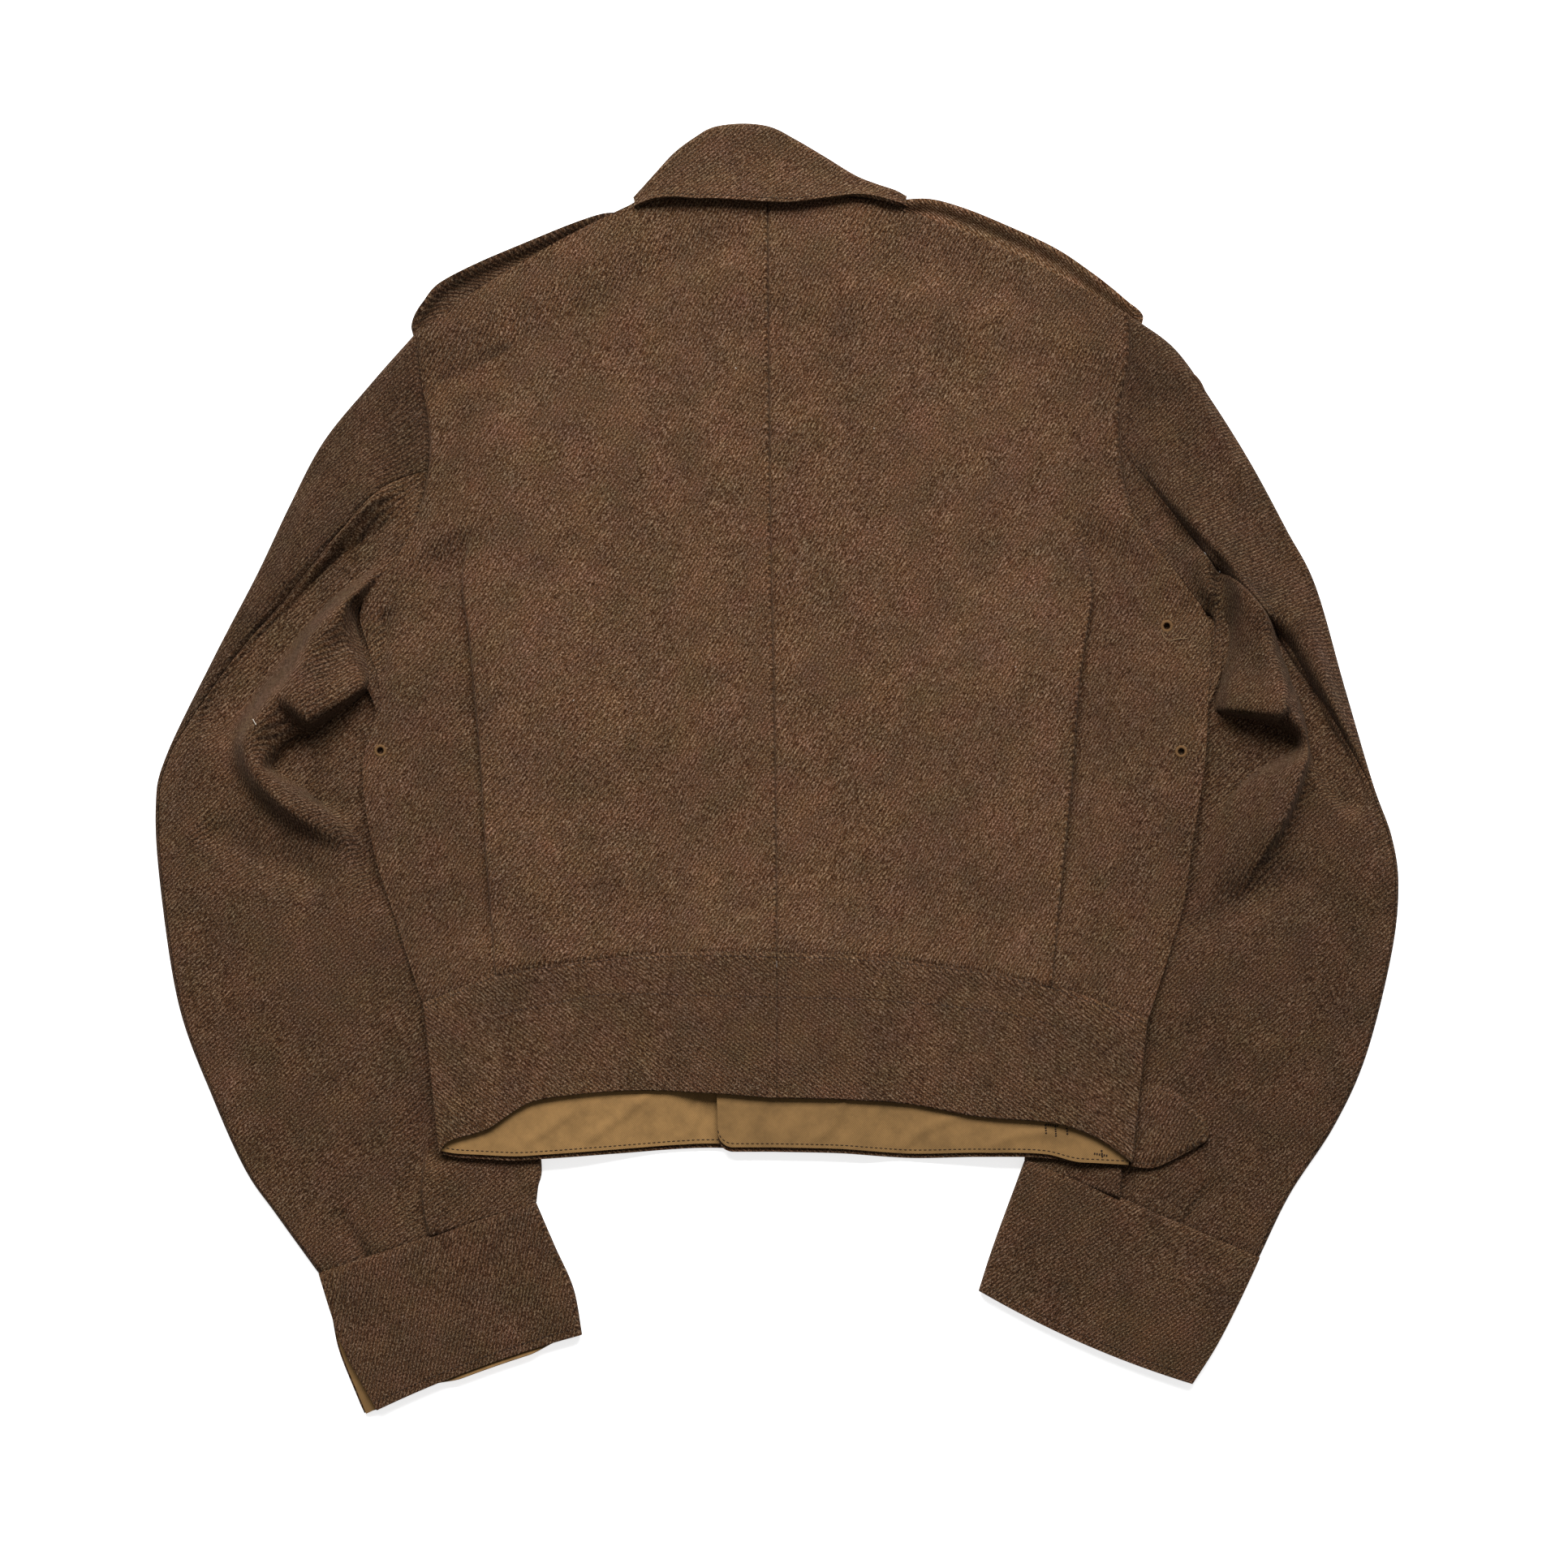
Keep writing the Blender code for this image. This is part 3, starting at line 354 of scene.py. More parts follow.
BackRow = namedtuple("BackRow", "centre_y pleat_x pleat_y side_x side_y turn depth")
BACK = {
    "left": [
        BackRow(341, -84, 334, -213, 257, 0.0, 1),
        BackRow(291, -117, 276, -210, 229, 0.0, 1),
        BackRow(243, -140, 229, -205, 191, 0.0, 1),
        BackRow(195, -164, 186, -210, 156, 0.0, 1),
        BackRow(147, -181, 145, -225, 124, 0.0, 1),
        BackRow(109, -185, 109, -245, 95, 0.95, 1.5),
        BackRow(75, -181, 78, -241, 71, 1.0, 4),
        BackRow(42, -178, 47, -234, 43, 1.0, 8),
        BackRow(3, -174, 3, -244, 1, 1.0, 12),
        BackRow(-45, -171, -45, -238, -46, 1.0, 16),
        BackRow(-78, -168, -82, -226, -85, 1.0, 19),
        BackRow(-110, -165, -121, -208, -140, 1.0, 21),
    ],
    "right": [
        BackRow(341, 64, 334, 207, 268, 0.0, 1),
        BackRow(291, 85, 276, 207, 241, 0.0, 1),
        BackRow(243, 114, 229, 202, 210, 0.0, 1),
        BackRow(195, 148, 186, 203, 179, 0.0, 1),
        BackRow(147, 176, 147, 212, 146, 0.0, 1),
        BackRow(109, 185, 108, 239, 111, 0.95, 1.5),
        BackRow(75, 181, 75, 255, 85, 1.0, 4),
        BackRow(42, 177, 44, 254, 47, 1.0, 8),
        BackRow(3, 174, 3, 252, 4, 1.0, 12),
        BackRow(-45, 169, -45, 245, -42, 1.0, 16),
        BackRow(-78, 165, -83, 238, -85, 1.0, 19),
        BackRow(-110, 161, -128, 218, -149, 1.0, 21),
    ],
}
WAIST_ROW = len(BACK["left"]) - 1
UNDERARM_ROW = {"left": 5.0, "right": 5.75}

SleeveRow = namedtuple("SleeveRow", "outer_x outer_y inner_x inner_y seam loft")
SLEEVE = {
    "left": [
        SleeveRow(-214, 259, -245, 95, 0.48, 4),
        SleeveRow(-241, 227, -246, 94, 0.46, 5),
        SleeveRow(-268, 193, -247.5, 91, 0.50, 5),
        SleeveRow(-288, 155, -248, 86, 0.43, 5),
        SleeveRow(-307, 115, -245, 74, 0.29, 4),
        SleeveRow(-333, 65, -235, 48, 0.10, 4),
        SleeveRow(-361, 7, -222, 2, 0.01, 3),
        SleeveRow(-367, -23, -196, -40, -0.02, 2),
        SleeveRow(-364, -72, -172, -80, -0.02, 2),
        SleeveRow(-353, -141, -155, -141, -0.02, 2),
        SleeveRow(-333, -195, -145, -191, -0.02, 1),
        SleeveRow(-314, -237, -139, -233, -0.02, 0),
        SleeveRow(-296, -263, -141, -247, -0.02, 0),
        SleeveRow(-270, -299, -142, -256, -0.02, 0),
    ],
    "right": [
        SleeveRow(208, 268, 255, 93, 0.46, 4),
        SleeveRow(235, 248, 256.5, 91, 0.66, 5),
        SleeveRow(257, 217, 258, 87.5, 0.77, 5),
        SleeveRow(280, 180, 258.5, 82, 0.70, 5),
        SleeveRow(301, 141, 257, 71, 0.575, 4),
        SleeveRow(318, 108, 252, 46, 0.414, 4),
        SleeveRow(335, 49, 232, -8, 0.14, 4),
        SleeveRow(352, -9, 208, -50, 0.01, 3),
        SleeveRow(363, -40, 188, -85, -0.02, 3),
        SleeveRow(367, -69, 176, -117, -0.02, 2),
        SleeveRow(363, -109, 168, -138, -0.02, 2),
        SleeveRow(348, -169, 159, -174, -0.02, 1),
        SleeveRow(329, -211, 151, -204, -0.02, 0),
        SleeveRow(303, -251, 147, -223, -0.02, 0),
        SleeveRow(284, -290, 146, -231, -0.02, 0),
    ],
}


def body_lift(plan):
    """Height of the body's floor side: nought in the middle, rising over each sleeve beneath it."""
    lift = 0.0
    for side, sign in SIGN.items():
        down = -column(SLEEVE[side], "inner_y")
        inner = np.interp(-plan[..., 1], down, sign * column(SLEEVE[side], "inner_x"))
        run = (sign * plan[..., 0] - inner + LIFT_LEAD + LIFT_RUN) / LIFT_RUN
        below = (UNDERARM_Y - plan[..., 1]) / LIFT_DROP
        lift = lift + BODY_LIFT * smooth(run) * smooth(below)
    return lift


def front_lap(plan):
    """Extra height where the right front lies on the left one, thicker at the waistband."""
    height = FRONT_LAP + (BAND_LAP - FRONT_LAP) * smooth((BAND_LAP_Y - plan[..., 1]) / BAND_LAP_RUN)
    left_run = smooth((plan[..., 0] - LAP_LEFT_X) / LAP_LEFT_RUN)
    right_run = 1.0 - smooth((plan[..., 0] - LAP_RIGHT_X) / LAP_RIGHT_RUN)
    return height * left_run * right_run


def strap_lift(place):
    """Extra height of both panels by the shoulder, over the straps."""
    return STRAP_LIFT * (1.0 - smooth((place - STRAP_ROW) / STRAP_RUN))


def back_height(plan, place):
    """Height of the middle of the back's wall where it lies plainly on the fronts."""
    waist = (BAND_STACK - SERGE - PANEL_GAP) * smooth(place - WAIST_ROW + 1.0)
    stack = body_lift(plan) + front_lap(plan) + strap_lift(place) + waist
    return stack + SERGE + PANEL_GAP + SERGE / 2


def underarm_puff(place, share):
    """Swell of the back towards the armhole, where the underarm folds start."""
    along = np.exp(-((place - PUFF_ROW) / PUFF_ROWS) ** 2)
    return PUFF * along * smooth((share - PUFF_SHARE) / (1.0 - PUFF_SHARE))


def pleat_section(turn, depth, layer):
    """Run and drop of the cloth round a knife pleat: one bend, a return and a bend back.

    The cloth's direction turns by the given angle over half a round of the layer's height, keeps it
    for the depth of the pleat, and turns back over a second such arc.
    """
    eased = (np.arange(ARC_STEPS) + 0.5) / ARC_STEPS
    angle = np.pi * turn * np.concatenate([eased, np.ones(RETURN_STEPS), 1.0 - eased])
    arc = np.repeat(np.pi * layer / 2 / ARC_STEPS, ARC_STEPS, axis=1)
    back = np.repeat(depth / RETURN_STEPS, RETURN_STEPS, axis=1)
    length = np.concatenate([arc, back, arc], axis=1)
    start = np.zeros((len(turn), 1))
    run = np.concatenate([start, np.cumsum(length * np.cos(angle), axis=1)], axis=1)
    drop = np.concatenate([start, np.cumsum(length * np.sin(angle), axis=1)], axis=1)
    return run, drop


def centre_line(place):
    """Plan points of the centre-back seam."""
    up = through(column(BACK["left"], "centre_y"), place)
    across = CENTRE_TOP_X + (CENTRE_WAIST_X - CENTRE_TOP_X) * smooth(place / WAIST_ROW)
    return np.stack([across, up], axis=-1)


def bowed(plan, share, bow):
    """Plan points lifted towards the collar between the two ends of their row."""
    lifted = plan.copy()
    lifted[..., 1] += bow * 4.0 * share * (1.0 - share)
    return lifted


# A crease is a smooth line through a few plan points, with a half width on the left and the right of
# its way, a height, below nought for a trough, and a lean by which its crest hangs over to the left.
Crease = namedtuple("Crease", "path left right height lean")
CREASE_STEPS = 8
CREASE_FADE = 0.2


def crease_relief(creases, plan):
    """Heights and sideways leans of creases at plan points.

    Each is a bell curve of the distance to the crease's line, narrower or wider by its side, and
    fading at both ends.
    """
    height = np.zeros(plan.shape[:-1])
    lean = np.zeros(plan.shape)
    for crease in creases:
        knots = np.array(crease.path, dtype=float)
        way = np.linspace(0, len(knots) - 1, CREASE_STEPS * (len(knots) - 1) + 1)
        line = np.stack([through(knots[:, 0], way), through(knots[:, 1], way)], axis=-1)
        step = np.diff(line, axis=0)
        apart = plan[..., None, :] - line[:-1]
        along = np.clip((apart * step).sum(-1) / (step ** 2).sum(-1), 0, 1)
        far = np.linalg.norm(apart - along[..., None] * step, axis=-1)
        nearest = far.argmin(axis=-1)[..., None]
        far = np.take_along_axis(far, nearest, -1)[..., 0]
        across = step[:, 0] * apart[..., 1] - step[:, 1] * apart[..., 0]
        on_left = np.take_along_axis(across, nearest, -1)[..., 0] > 0
        done = (np.take_along_axis(along, nearest, -1)[..., 0] + nearest[..., 0]) / len(step)
        fade = smooth(done / CREASE_FADE) * smooth((1.0 - done) / CREASE_FADE)
        bell = fade * np.exp(-(far / np.where(on_left, crease.left, crease.right)) ** 2)
        height += crease.height * bell
        onward = unit(step)[nearest[..., 0]]
        lean += (crease.lean * bell)[..., None] * np.stack([-onward[..., 1], onward[..., 0]], axis=-1)
    return height, lean


RippleRow = namedtuple("RippleRow", "across up length sway sway_length start size")
RIPPLES = [
    RippleRow(1.0, 0.0, 23.0, 0.8, 41.0, 0.0, 1.0),
    RippleRow(0.0, 1.0, 29.0, 1.3, 57.0, 2.0, 1.0),
    RippleRow(1.0, 1.0, 17.0, 0.0, 1.0, 1.1, 0.7),
    RippleRow(1.0, -1.4, 37.0, 0.0, 1.0, 0.4, 0.6),
]


def ripple(plan, height):
    """Slight unevenness of laid cloth: a few crossing waves, some swayed by a longer wave."""
    across, up = plan[..., 0], plan[..., 1]
    total = 0.0
    for wave in RIPPLES:
        sway = wave.sway * np.sin((across * wave.up + up * wave.across) / wave.sway_length)
        along = (across * wave.across + up * wave.up) / wave.length
        total = total + wave.size * np.sin(along + sway + wave.start)
    return height * total / sum(wave.size for wave in RIPPLES)


SHOULDER_CREASE = Crease(((20, 330), (-52, 301), (-124, 267), (-210, 224), (-260, 190), (-320, 150)),
                         14, 18, -2.8, 0)
BACK_CREASES = [
    SHOULDER_CREASE,
    Crease(((20, 345), (-110, 294), (-235, 240)), 12, 12, 0.9, 0),
    Crease(((30, 316), (96, 296), (160, 266)), 14, 16, -2.0, 0),
    Crease(((150, 165), (196, 132), (224, 106), (250, 80)), 10, 8, -1.4, 0),
    Crease(((150, 250), (168, 190), (184, 130)), 20, 20, 1.0, 0),
    Crease(((-150, 220), (-170, 180), (-188, 130)), 20, 20, 1.0, 0),
    Crease(((-16, 340), (-14, 150), (-8, -100)), 9, 4, 0.7, 0),
    Crease(((-170, -16), (-60, -34), (60, -24)), 22, 22, -0.7, 0),
    Crease(((165, 60), (80, 40), (-10, 75)), 24, 24, 0.7, 0),
    Crease(((-205, 60), (-216, 0), (-200, -70), (-190, -130)), 12, 12, -1.0, 0),
    Crease(((215, 60), (225, 0), (210, -70), (198, -130)), 12, 12, -1.0, 0),
    Crease(((-230, 96), (-231, 74), (-232, 50)), 3, 4, -3.0, 0),
]
SEAM_DIP = 1.4
SEAM_WIDTH = 1.5
CENTRE_DIP = 2.2
CENTRE_WIDTH = 0.8
ARMHOLE_DIP = 2.2
ARMHOLE_WIDTH = 1.2
EDGE_ROLL = 1.1
EDGE_WIDTH = 6.0
BACK_TONE = 1.0
BACK_ROWS = 230
BACK_RIPPLE = 0.35
SEAM_SHARES = np.array([0.0, 0.003, 0.006, 0.010, 0.016, 0.024])
MIDDLE_SHARE = 0.033
MIDDLE_STEPS = 72
HIDDEN_RUN = np.array([1.0, 3.5])
SIDE_STEPS = 42
SIDE_CROWDING = 1.5
DEPTH_LEAST = 0.3
WAIST_ROWS = 2.0
ROLL_ROWS = 1.5
ARMHOLE_FADE = 0.5
ARMHOLE_FADE_RUN = 0.3
back_grid = {}


def back_half(side):
    """One half of the back: a flat panel, the knife pleat, and the side panel under it.

    A point's height is that of the layers beneath it, plus the pleat's swell less its drop, plus
    creases and ripples, less a bell curve of the distance to each seam and to the side edge.
    """
    rows = BACK[side]
    place = np.linspace(0, WAIST_ROW, BACK_ROWS)[:, None]
    centre = centre_line(place)
    centre[..., 0] += SIGN[side] * SEAM / 2
    pleat = points(rows, "pleat", place)
    edge = points(rows, "side", place)
    outward = unit(pleat - centre)
    turn = np.clip(through(column(rows, "turn"), place), 0.0, 1.0)
    layer = TOP_LAYER + (LAYER - TOP_LAYER) * smooth((place - TOP_ROW) / TOP_ROWS)
    layer = layer + (WAIST_LAYER - LAYER) * smooth((place - WAIST_ROW + WAIST_ROWS) / WAIST_ROWS)
    run, drop = pleat_section(turn, np.maximum(through(column(rows, "depth"), place), DEPTH_LEAST), layer)
    start = pleat - outward * run.max(axis=1)[:, None, None]

    middle_share = np.concatenate([SEAM_SHARES, np.linspace(MIDDLE_SHARE, 1, MIDDLE_STEPS)[:-1]])[None, :]
    shoulder_bow = SHOULDER_BOW * np.clip(1.0 - place, 0, 1) ** 2
    waist_bow = WAIST_BOW * np.clip(place - WAIST_ROW + 1.0, 0, 1) ** 2
    middle = between(centre, start, middle_share)
    fold = start + outward * run[..., None]
    hidden = pleat + unit(edge - pleat) * HIDDEN_RUN[None, :, None]
    clear = pleat + unit(edge - pleat) * PLEAT_CLEAR
    side_share = 1.0 - np.linspace(1, 0, SIDE_STEPS)[None, :] ** SIDE_CROWDING
    side_part = bowed(between(clear, edge, side_share), side_share, shoulder_bow)

    full = drop[:, -1:]
    swell = 2 * layer * smooth((place - SWELL_ROW) / SWELL_ROWS)
    rest = swell - full
    above = [swell * smooth((middle_share - PLEAT_FADE) / (PLEAT_FULL - PLEAT_FADE)),
             swell - drop,
             np.repeat(rest, len(HIDDEN_RUN), axis=1),
             rest * (1.0 - smooth(side_share)) + underarm_puff(place, side_share)]
    plan = np.concatenate([middle, fold, hidden, side_part], axis=1)
    across = np.clip((plan[..., 0] - centre[..., 0]) / (pleat - centre)[..., 0], 0, 1)
    plan = bowed(plan, across, waist_bow)
    height = back_height(plan, place) + np.concatenate(above, axis=1)
    height = height + crease_relief(BACK_CREASES, plan)[0] + ripple(plan, BACK_RIPPLE)
    from_seam = np.abs(plan[..., 0] - centre[..., 0])
    height = height - CENTRE_DIP * np.exp(-(from_seam / CENTRE_WIDTH) ** 2)
    from_edge = np.linalg.norm(plan - edge, axis=-1)
    below = smooth((place - UNDERARM_ROW[side]) / ROLL_ROWS)
    armhole = 1.0 - smooth((place / UNDERARM_ROW[side] - ARMHOLE_FADE) / ARMHOLE_FADE_RUN)
    height = height - EDGE_ROLL * below * np.exp(-(from_edge / EDGE_WIDTH) ** 2)
    height = height - ARMHOLE_DIP * armhole * np.exp(-(from_edge / ARMHOLE_WIDTH) ** 2)
    from_waist = np.linalg.norm(plan - plan[-1:], axis=-1)
    height = height - SEAM_DIP * np.exp(-(from_waist / SEAM_WIDTH) ** 2)
    grid = face_up(side, with_height(plan, height))
    back_grid[side] = grid
    # The side panels carry painted shade in their colour.
    finish = serge("serge_back_" + side, BACK_TONE, side_shade=SIDE_PANEL_PAINTED_SHADE)
    return cloth("back_" + side, grid, SERGE, 0, grid[..., :2], finish)


backs = {side: back_half(side) for side in SIGN}


# The two fronts: the same serge, lying on the floor under the back with the right front lapped on the
# left. Little of them shows but a strip under each arm, so they stay plain.
FRONT_EDGE_X = {"left": 40.0, "right": -38.0}
THROAT_DROP = 45.0
NECK_SIDE = 30.0
NECK_RUN = 40.0
UNDERARM_REACH = {"left": 9.0, "right": 7.0}
REACH_ROWS = 0.7
REACH_START = 0.25
REACH_END_ROW = 6.7
FRONT_TONE = 0.7
FRONT_ROWS = 110
FRONT_STEPS = 24


def underarm_reach(side, place):
    """How far the front stands out past the back's side edge, under the arm."""
    start = smooth((place - UNDERARM_ROW[side] + REACH_START) / REACH_START)
    return UNDERARM_REACH[side] * start * (1.0 - smooth((place - REACH_END_ROW) / REACH_ROWS))


def front_half(side):
    """One front, hidden under the back: from its edge at the centre to the side seam."""
    rows = BACK[side]
    place = np.linspace(0, WAIST_ROW, FRONT_ROWS)[:, None]
    edge_y = through(column(rows, "centre_y"), place) - THROAT_DROP * np.clip(1.0 - place, 0, 1)
    centre = np.stack([np.full_like(edge_y, FRONT_EDGE_X[side]), edge_y], axis=-1)
    middle = between(centre, points(rows, "pleat", place), np.linspace(0, 1, FRONT_STEPS + 1)[None, :-1])
    side_share = np.linspace(0, 1, FRONT_STEPS)[None, :]
    edge = points(rows, "side", place)
    edge[..., 0] += SIGN[side] * underarm_reach(side, place)
    side_part = between(points(rows, "pleat", place), edge, side_share)
    side_part = bowed(side_part, side_share, SHOULDER_BOW * np.clip(1.0 - place, 0, 1) ** 2)
    plan = np.concatenate([middle, side_part], axis=1)
    beside_neck = smooth((np.abs(plan[..., 0]) - NECK_SIDE) / NECK_RUN)
    height = body_lift(plan) + strap_lift(place) * beside_neck
    if side == "right":
        height = height + front_lap(plan)
    grid = face_up(side, with_height(plan, height))
    finish = serge("serge_front_" + side, FRONT_TONE)
    return cloth("front_" + side, grid, SERGE, 1, grid[..., :2], finish)


for side in SIGN:
    front_half(side)


# The sleeves: serge tubes of two pieces each, a wide top sleeve round the outer fold and an under
# sleeve, sewn at the hind arm and the forearm and set into the armholes. They lie flattened, bent
# back under the body, with the cloth bunched into deep folds under the arms.
SLEEVE_HEIGHT = 6.0
SLEEVE_LEAST = 3.6
SLEEVE_EDGE = 2.8
SLANT_LEAST = 0.3
SLEEVE_SEAM = 0.5
ARMHOLE_SEAM = 0.25
SHOULDER_SEAM = 0.2
SHOULDER_SHARE = 0.12
PRESS_REACH = 3.0
PRESS_RUN = 8.0
PRESS_DROP = 30.0
PRESS_END = -238.0
LOFT_RUN = 16.0
RELIEF_RUN = 12.0
SWAY_ROWS = 2.5
MEET_ROWS = 1.3
MEET_ROOM = 1.8
FOREARM_SEAM = 0.72
HINDARM_LEAST = 2.2
# Painted shade: each sleeve piece's serge is dimmed below the back's, partly the cloth's tone and partly the
# shade on the sleeves' slopes and folds, so the pieces differ from each other.
SLEEVE_TONE_AND_PAINTED_SHADE = {"top_sleeve_left": 0.55, "under_sleeve_left": 0.76, "top_sleeve_right": 0.61,
               "under_sleeve_right": 0.68}
SLEEVE_RIB_ANGLE = 43.0
SLEEVE_RIPPLE = 0.5
SLOPE_ROWS = 0.05
CUFF_ROWS = 0.1
NORMAL_RING = 0.002
NORMAL_ROWS = 0.02
UPPER_ROWS = 7
HINDARM_DIP = {"left": 0.9, "right": 1.8}
HINDARM_ROWS = 6.5
SLEEVE_CREASES = {
    "left": [
        SHOULDER_CREASE,
        Crease(((-206, 172), (-236, 160), (-262, 134), (-296, 88), (-337, 44), (-364, 5)), 5, 12, 3.5, 1),
        Crease(((-205, 152), (-229, 134), (-264, 108), (-298, 76), (-322, 44), (-338, 10)), 12, 13, -14, 0),
        Crease(((-190, 136), (-224, 117), (-252, 98), (-270, 80), (-284, 54), (-301, 34), (-311, 15),
                (-305, -4), (-290, -20), (-266, -36), (-240, -48)), 15, 7, 15, 0),
        Crease(((-200, 84), (-230, 66), (-254, 52), (-276, 37), (-288, 29)), 9, 14, 10, 8),
        Crease(((-196, 62), (-224, 49), (-250, 32), (-276, 14), (-292, 2), (-298, -6)), 34, 6, -26, 0),
        Crease(((-233, 70), (-242, 25), (-246, -10), (-240, -40), (-226, -90)), 12, 10, -11, 0),
        Crease(((-345, -34), (-323, -44), (-296, -56), (-250, -76)), 12, 12, -4, 0),
        Crease(((-207, -190), (-208, -225), (-210, -250), (-205, -285)), 1.6, 10, -3, 0),
        Crease(((-204, -190), (-205, -225), (-207, -250), (-202, -285)), 14, 1.8, 3.5, -2),
        Crease(((-258, -258), (-250, -276), (-234, -300)), 3, 6, -2, 0),
        Crease(((-348, -60), (-332, -130), (-316, -200)), 18, 14, -1.5, 0),
    ],
    "right": [
        Crease(((196, 205), (212, 184), (240, 150), (276, 111), (316, 58), (344, 12), (366, -32)),
               14, 5, 7, -1),
        Crease(((196, 190), (222, 158), (256, 120)), 5, 9, -4, 0),
        Crease(((284, 94), (303, 56), (314, 25), (328, 2), (347, -30)), 9, 7, -28, 0),
        Crease(((232, 142), (262, 113), (281, 89), (293, 66), (302, 45), (306, 25), (304, 4),
                (296, -20), (283, -48), (266, -80)), 7, 17, 14, 4),
        Crease(((258, 130), (261, 102), (264, 78), (258, 46), (256, 20)), 5, 6, -12, 0),
        Crease(((214, 48), (246, 46), (276, 43), (292, 40), (301, 36)), 13, 9, 9, -8),
        Crease(((200, 36), (226, 32), (254, 28), (280, 25), (298, 16), (306, 4)), 6, 34, -26, 0),
        Crease(((254, 60), (253, 10), (247, -40), (238, -95)), 10, 12, -8, 0),
        Crease(((232, -99), (275, -78), (324, -60)), 12, 12, -4, 0),
        Crease(((218, 234), (268, 167), (318, 100)), 15, 15, -2, 0),
        Crease(((204, -205), (204, -236), (203, -255), (204, -280)), 10, 1.6, -3, 0),
        Crease(((201, -205), (201, -236), (200, -255), (201, -280)), 1.8, 14, 2.4, 2),
        Crease(((258, -242), (248, -258), (234, -274)), 5, 3, -2, 0),
        Crease(((348, -70), (330, -140), (296, -210)), 14, 18, -1.5, 0),
    ],
}
sleeve_grid = {}


def pressed(side, plan):
    """How far the body lies on the sleeve: 1 under it, 0 well outside its side edge."""
    down = -column(BACK[side], "side_y")
    edge = np.interp(-plan[..., 1], down, SIGN[side] * column(BACK[side], "side_x"))
    inside = smooth((edge + PRESS_REACH - SIGN[side] * plan[..., 0]) / PRESS_RUN)
    below = smooth((UNDERARM_Y - plan[..., 1]) / PRESS_DROP)
    above = smooth((plan[..., 1] - PRESS_END) / PRESS_RUN)
    return inside * (below * above)


def fold_width(side, place, fold):
    """Length of a section over which its fold rounds, longer where the two meet aslant."""
    rows = SLEEVE[side]
    across = unit(points(rows, "inner", place) - points(rows, "outer", place))
    along = unit(points(rows, fold, place + SLOPE_ROWS) - points(rows, fold, place - SLOPE_ROWS))
    slant = np.abs(across[..., 0] * along[..., 1] - across[..., 1] * along[..., 0])
    return SLEEVE_EDGE / np.maximum(slant, SLANT_LEAST)


def sleeve_surface(side, place, ring):
    """Points on a sleeve's flattened tube.

    The ring counts widths: 0 to 1 runs from the outer fold over the top to the inner fold, below 0
    and above 1 it runs along the floor. The first section follows the armhole and meets the two
    body panels, and the sections after it straighten out.
    """
    rows = SLEEVE[side]
    share = np.where(ring < 0, -ring, np.where(ring > 1, 2.0 - ring, ring))
    upper = (ring >= 0) & (ring <= 1)
    outer = points(rows, "outer", place)
    inner = points(rows, "inner", place)
    plan = between(outer, inner, share)
    reach = np.linalg.norm(inner - outer, axis=-1)

    armhole = points(BACK[side], "side", share * UNDERARM_ROW[side])
    start = np.zeros_like(place)
    sway = armhole - between(points(rows, "outer", start), points(rows, "inner", start), share)
    onward = unit(points(BACK[side], "side", share * UNDERARM_ROW[side] + 0.01) - armhole)
    clear = ARMHOLE_SEAM + SHOULDER_SEAM * (1.0 - smooth(share / SHOULDER_SHARE))
    sway += SIGN[side] * clear[..., None] * np.stack([-onward[..., 1], onward[..., 0]], axis=-1)
    plan = plan + sway * (np.clip(1.0 - place / SWAY_ROWS, 0, 1) ** 2)[..., None]

    to_edge = np.minimum(share, 1.0 - share) * reach
    width = np.where(share < 0.5, fold_width(side, place, "outer"), fold_width(side, place, "inner"))
    swell = np.sqrt(1.0 - (1.0 - np.clip(to_edge / width, 0, 1)) ** 2)
    free = 1.0 - pressed(side, plan)
    relief, lean = crease_relief(SLEEVE_CREASES[side], plan)
    loft = through(column(rows, "loft"), place) * smooth(to_edge / LOFT_RUN) + ripple(plan, SLEEVE_RIPPLE)
    loft = loft + relief * smooth(to_edge / RELIEF_RUN)
    top = np.maximum(SLEEVE_HEIGHT + free * loft, SLEEVE_LEAST)

    row = share * UNDERARM_ROW[side]
    meet = 1.0 - smooth(place / MEET_ROWS)
    back_top = back_height(armhole, row) + underarm_puff(row, np.ones_like(row)) + SERGE / 2
    front_under = np.maximum(body_lift(armhole) + strap_lift(row) - MEET_ROOM, 0.0)
    top = top + meet * (back_top - top)
    groove = np.exp(-(np.linalg.norm(plan - armhole, axis=-1) / ARMHOLE_WIDTH) ** 2)
    top = top - ARMHOLE_DIP * groove * (1.0 - smooth((share - ARMHOLE_FADE) / ARMHOLE_FADE_RUN))
    hindarm = np.maximum(through(column(rows, "seam"), place), HINDARM_LEAST / reach)
    from_seam = np.abs(share - hindarm) * reach
    sewn = HINDARM_DIP[side] * (1.0 - smooth(place - HINDARM_ROWS)) * (1.0 - meet)
    top = top - sewn * np.exp(-(from_seam / SEAM_WIDTH) ** 2)
    row_step = np.linalg.norm(outer - points(rows, "outer", place - CUFF_ROWS), axis=-1) / CUFF_ROWS
    to_cuff = (len(rows) - 1 - place) * row_step
    top = top - SEAM_DIP * np.exp(-(to_cuff / SEAM_WIDTH) ** 2)
    bottom = meet * front_under
    middle = (np.minimum(top, SLEEVE_HEIGHT) + bottom) / 2
    height = np.where(upper, middle + (top - middle) * swell, middle - (middle - bottom) * swell)
    leaning = np.where(upper, free * smooth(to_edge / RELIEF_RUN) * (1.0 - meet), 0.0)
    return with_height(plan + lean * leaning[..., None], height)


